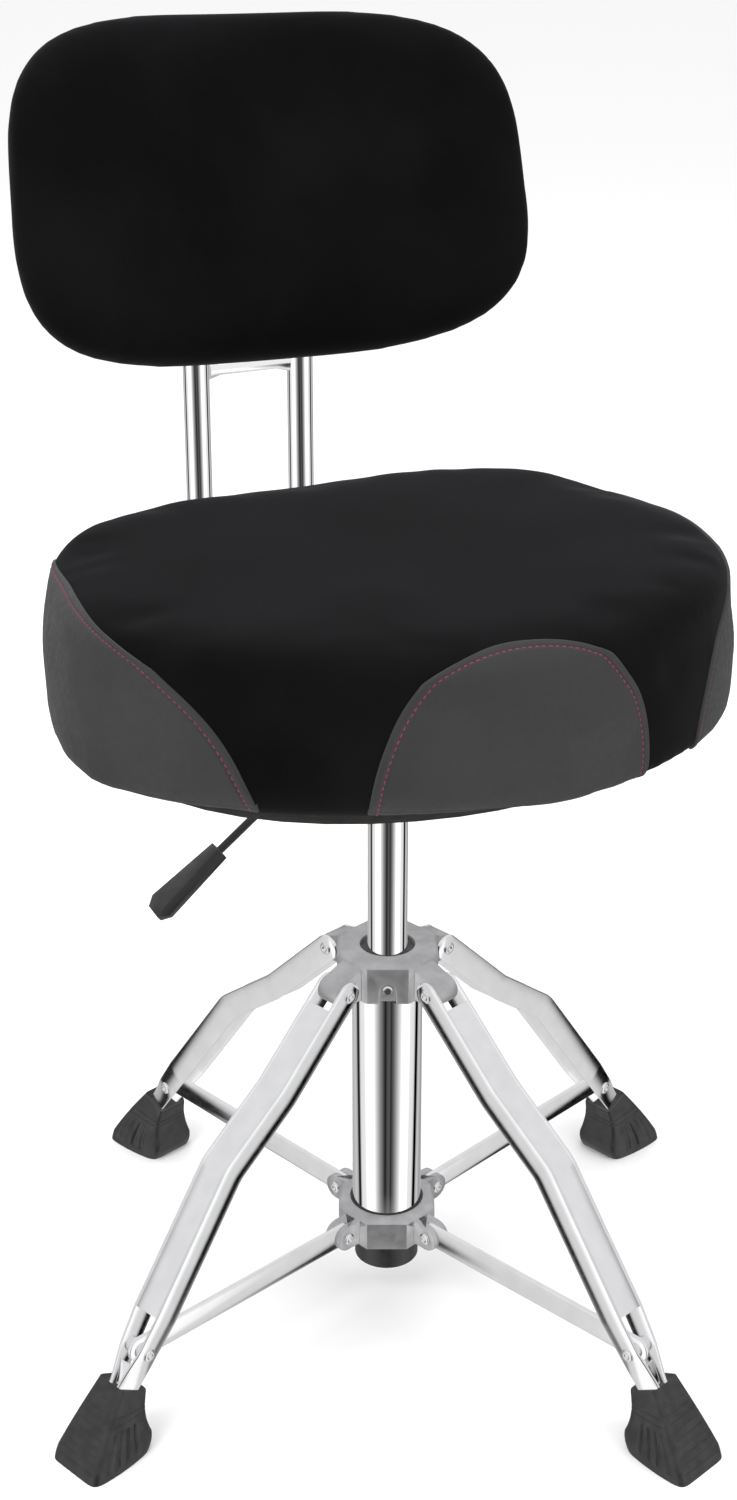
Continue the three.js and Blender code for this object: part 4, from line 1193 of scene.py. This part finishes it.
for side, across in (("left", TUBE_APART), ("right", -TUBE_APART)):
    route = [
        (across, 70, TUBE_LOW), (across, TUBE_BACK, TUBE_LOW), (across, TUBE_BACK, KINK),
        (across, TUBE_BACK + TUBE_END * math.sin(LEAN), KINK + TUBE_END * math.cos(LEAN)),
    ]
    mast = bent_bar(route, TUBE_RADIUS, 45, f"backrest_mast_{side}", chrome, wall=1.5, sides=14)
    fit(mast, "seat", "chrome_tube", f"backrest_tube_{side}")

half = TUBE_APART - TUBE_RADIUS - 0.1
flare = [(0, half), (6, half), (5.2, half - 3), (3.5, half - 9)]
bar = turned([(r, -out) for r, out in flare] + flare[::-1], 32)
bmesh.ops.rotate(bar, matrix=Matrix.Rotation(math.pi / 2, 3, "Y"), verts=bar.verts)
bmesh.ops.translate(bar, vec=(0, TUBE_BACK * MM, CROSSBAR_UP * MM), verts=bar.verts)
crossbar = link_piece(bar, "backrest_tie", chrome)
crossbar.data.transform(SEAT_TURN)
fit(crossbar, "seat", "chrome_tube", "backrest_crossbar")
refined("backrest_clamp", "seat", "black_steel", coated, 1.0)
refined("clamp_bolt", "seat", "fastener_steel", zinc, 0.4)

# ---------------------------------------------------------------- backrest pad
# A foam pad on a bowed plywood board, covered in the same velour in front and in plain black cloth
# behind. Two screws hold it to the tubes.

PAD_HALF_WIDTH, PAD_HALF_HEIGHT, PAD_THICK, PAD_BOW = 182.0, 124.0, 50.0, 48.0
BOW_RADIUS = (PAD_HALF_WIDTH**2 + PAD_BOW**2) / (2 * PAD_BOW)
PAD_PLACE = (
    SEAT_TURN @ Matrix.Translation((0, 0.23308, PAD_MIDDLE * MM)) @ Matrix.Rotation(-LEAN, 4, "X")
)
PAD_SKEW = math.radians(1.5)


def bowed(across):
    """How far the pad's sides come forward, at a distance out from its middle."""
    return BOW_RADIUS - math.sqrt(max(BOW_RADIUS**2 - across**2, 0))


def pad_foam():
    """The pad's foam: a bowed slab with rolled edges, crowned in front and flat behind."""
    roll = 18.0
    half_width, half_height = PAD_HALF_WIDTH + 2.5 - roll, PAD_HALF_HEIGHT - 1.5 - roll
    deep = PAD_THICK / 2 - 2
    rings = [("front", q / 8) for q in range(8)]
    rings += [("edge", i / 12) for i in range(13)]
    rings += [("back", 1 - q / 4) for q in range(1, 5)]

    def place(ring, angle):
        kind, value = ring
        c, s = math.cos(angle), math.sin(angle)
        power = 2 / 3.5
        unit = Vector((math.copysign(abs(c) ** power, c), math.copysign(abs(s) ** power, s)))
        turn = math.pi * value if kind == "edge" else 0
        out = roll * math.sin(turn)
        scale = 1.0 if kind == "edge" else value
        x = unit.x * (half_width + out) * scale
        z = unit.y * (half_height + out) * scale
        x *= 1 - 0.035 * z / PAD_HALF_HEIGHT
        front, edge = -deep - 3 * (1 - value**2), -deep * math.cos(turn)
        y = {"front": front, "back": deep, "edge": edge}[kind]
        return Vector((x, y - bowed(x), z))

    return ring_body(rings, place)


pad = link_piece(pad_foam(), "backrest_velour", velour)
swell(pad, 5, 4, 3, lambda co: co.y / MM + bowed(co.x / MM) > 21)
pad.data.transform(PAD_PLACE @ Matrix.Rotation(PAD_SKEW, 4, "Y"))
fit(pad, "seat", "upholstery", "backrest_cushion")


def backing_cloth():
    made = matter("backing_cloth", (0.012, 0.012, 0.012), 0.8)
    relief(made, cells(made, 700), 0.0003, 0.6)
    mottle(made, noise(made, 40), (0.009, 0.009, 0.009), (0.016, 0.016, 0.016))
    return made


backing = backing_cloth()
refined("backrest_board", "seat", "upholstery", backing, 1.5)
for side in ("left", "right"):
    refined(f"backrest_screw_{side}", "seat", "fastener_steel", zinc, 0.5)

# ---------------------------------------------------------------- inside the column
# The guide bush and the lower hub's liner are moulded plastic, the bearing, its clip and the valve
# button are zinc-plated, and the rod is chromed. They keep the frame's own shapes.

for node, finish in {
    "guide_bush": plastic, "lower_hub_liner": plastic, "bearing_race_lower": zinc,
    "bearing_ball_cage": zinc, "bearing_race_upper": zinc, "rod_clip": zinc, "piston_rod": chrome,
    "valve_button": zinc,
}.items():
    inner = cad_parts[node].data
    inner.materials.clear()
    inner.materials.append(finish)
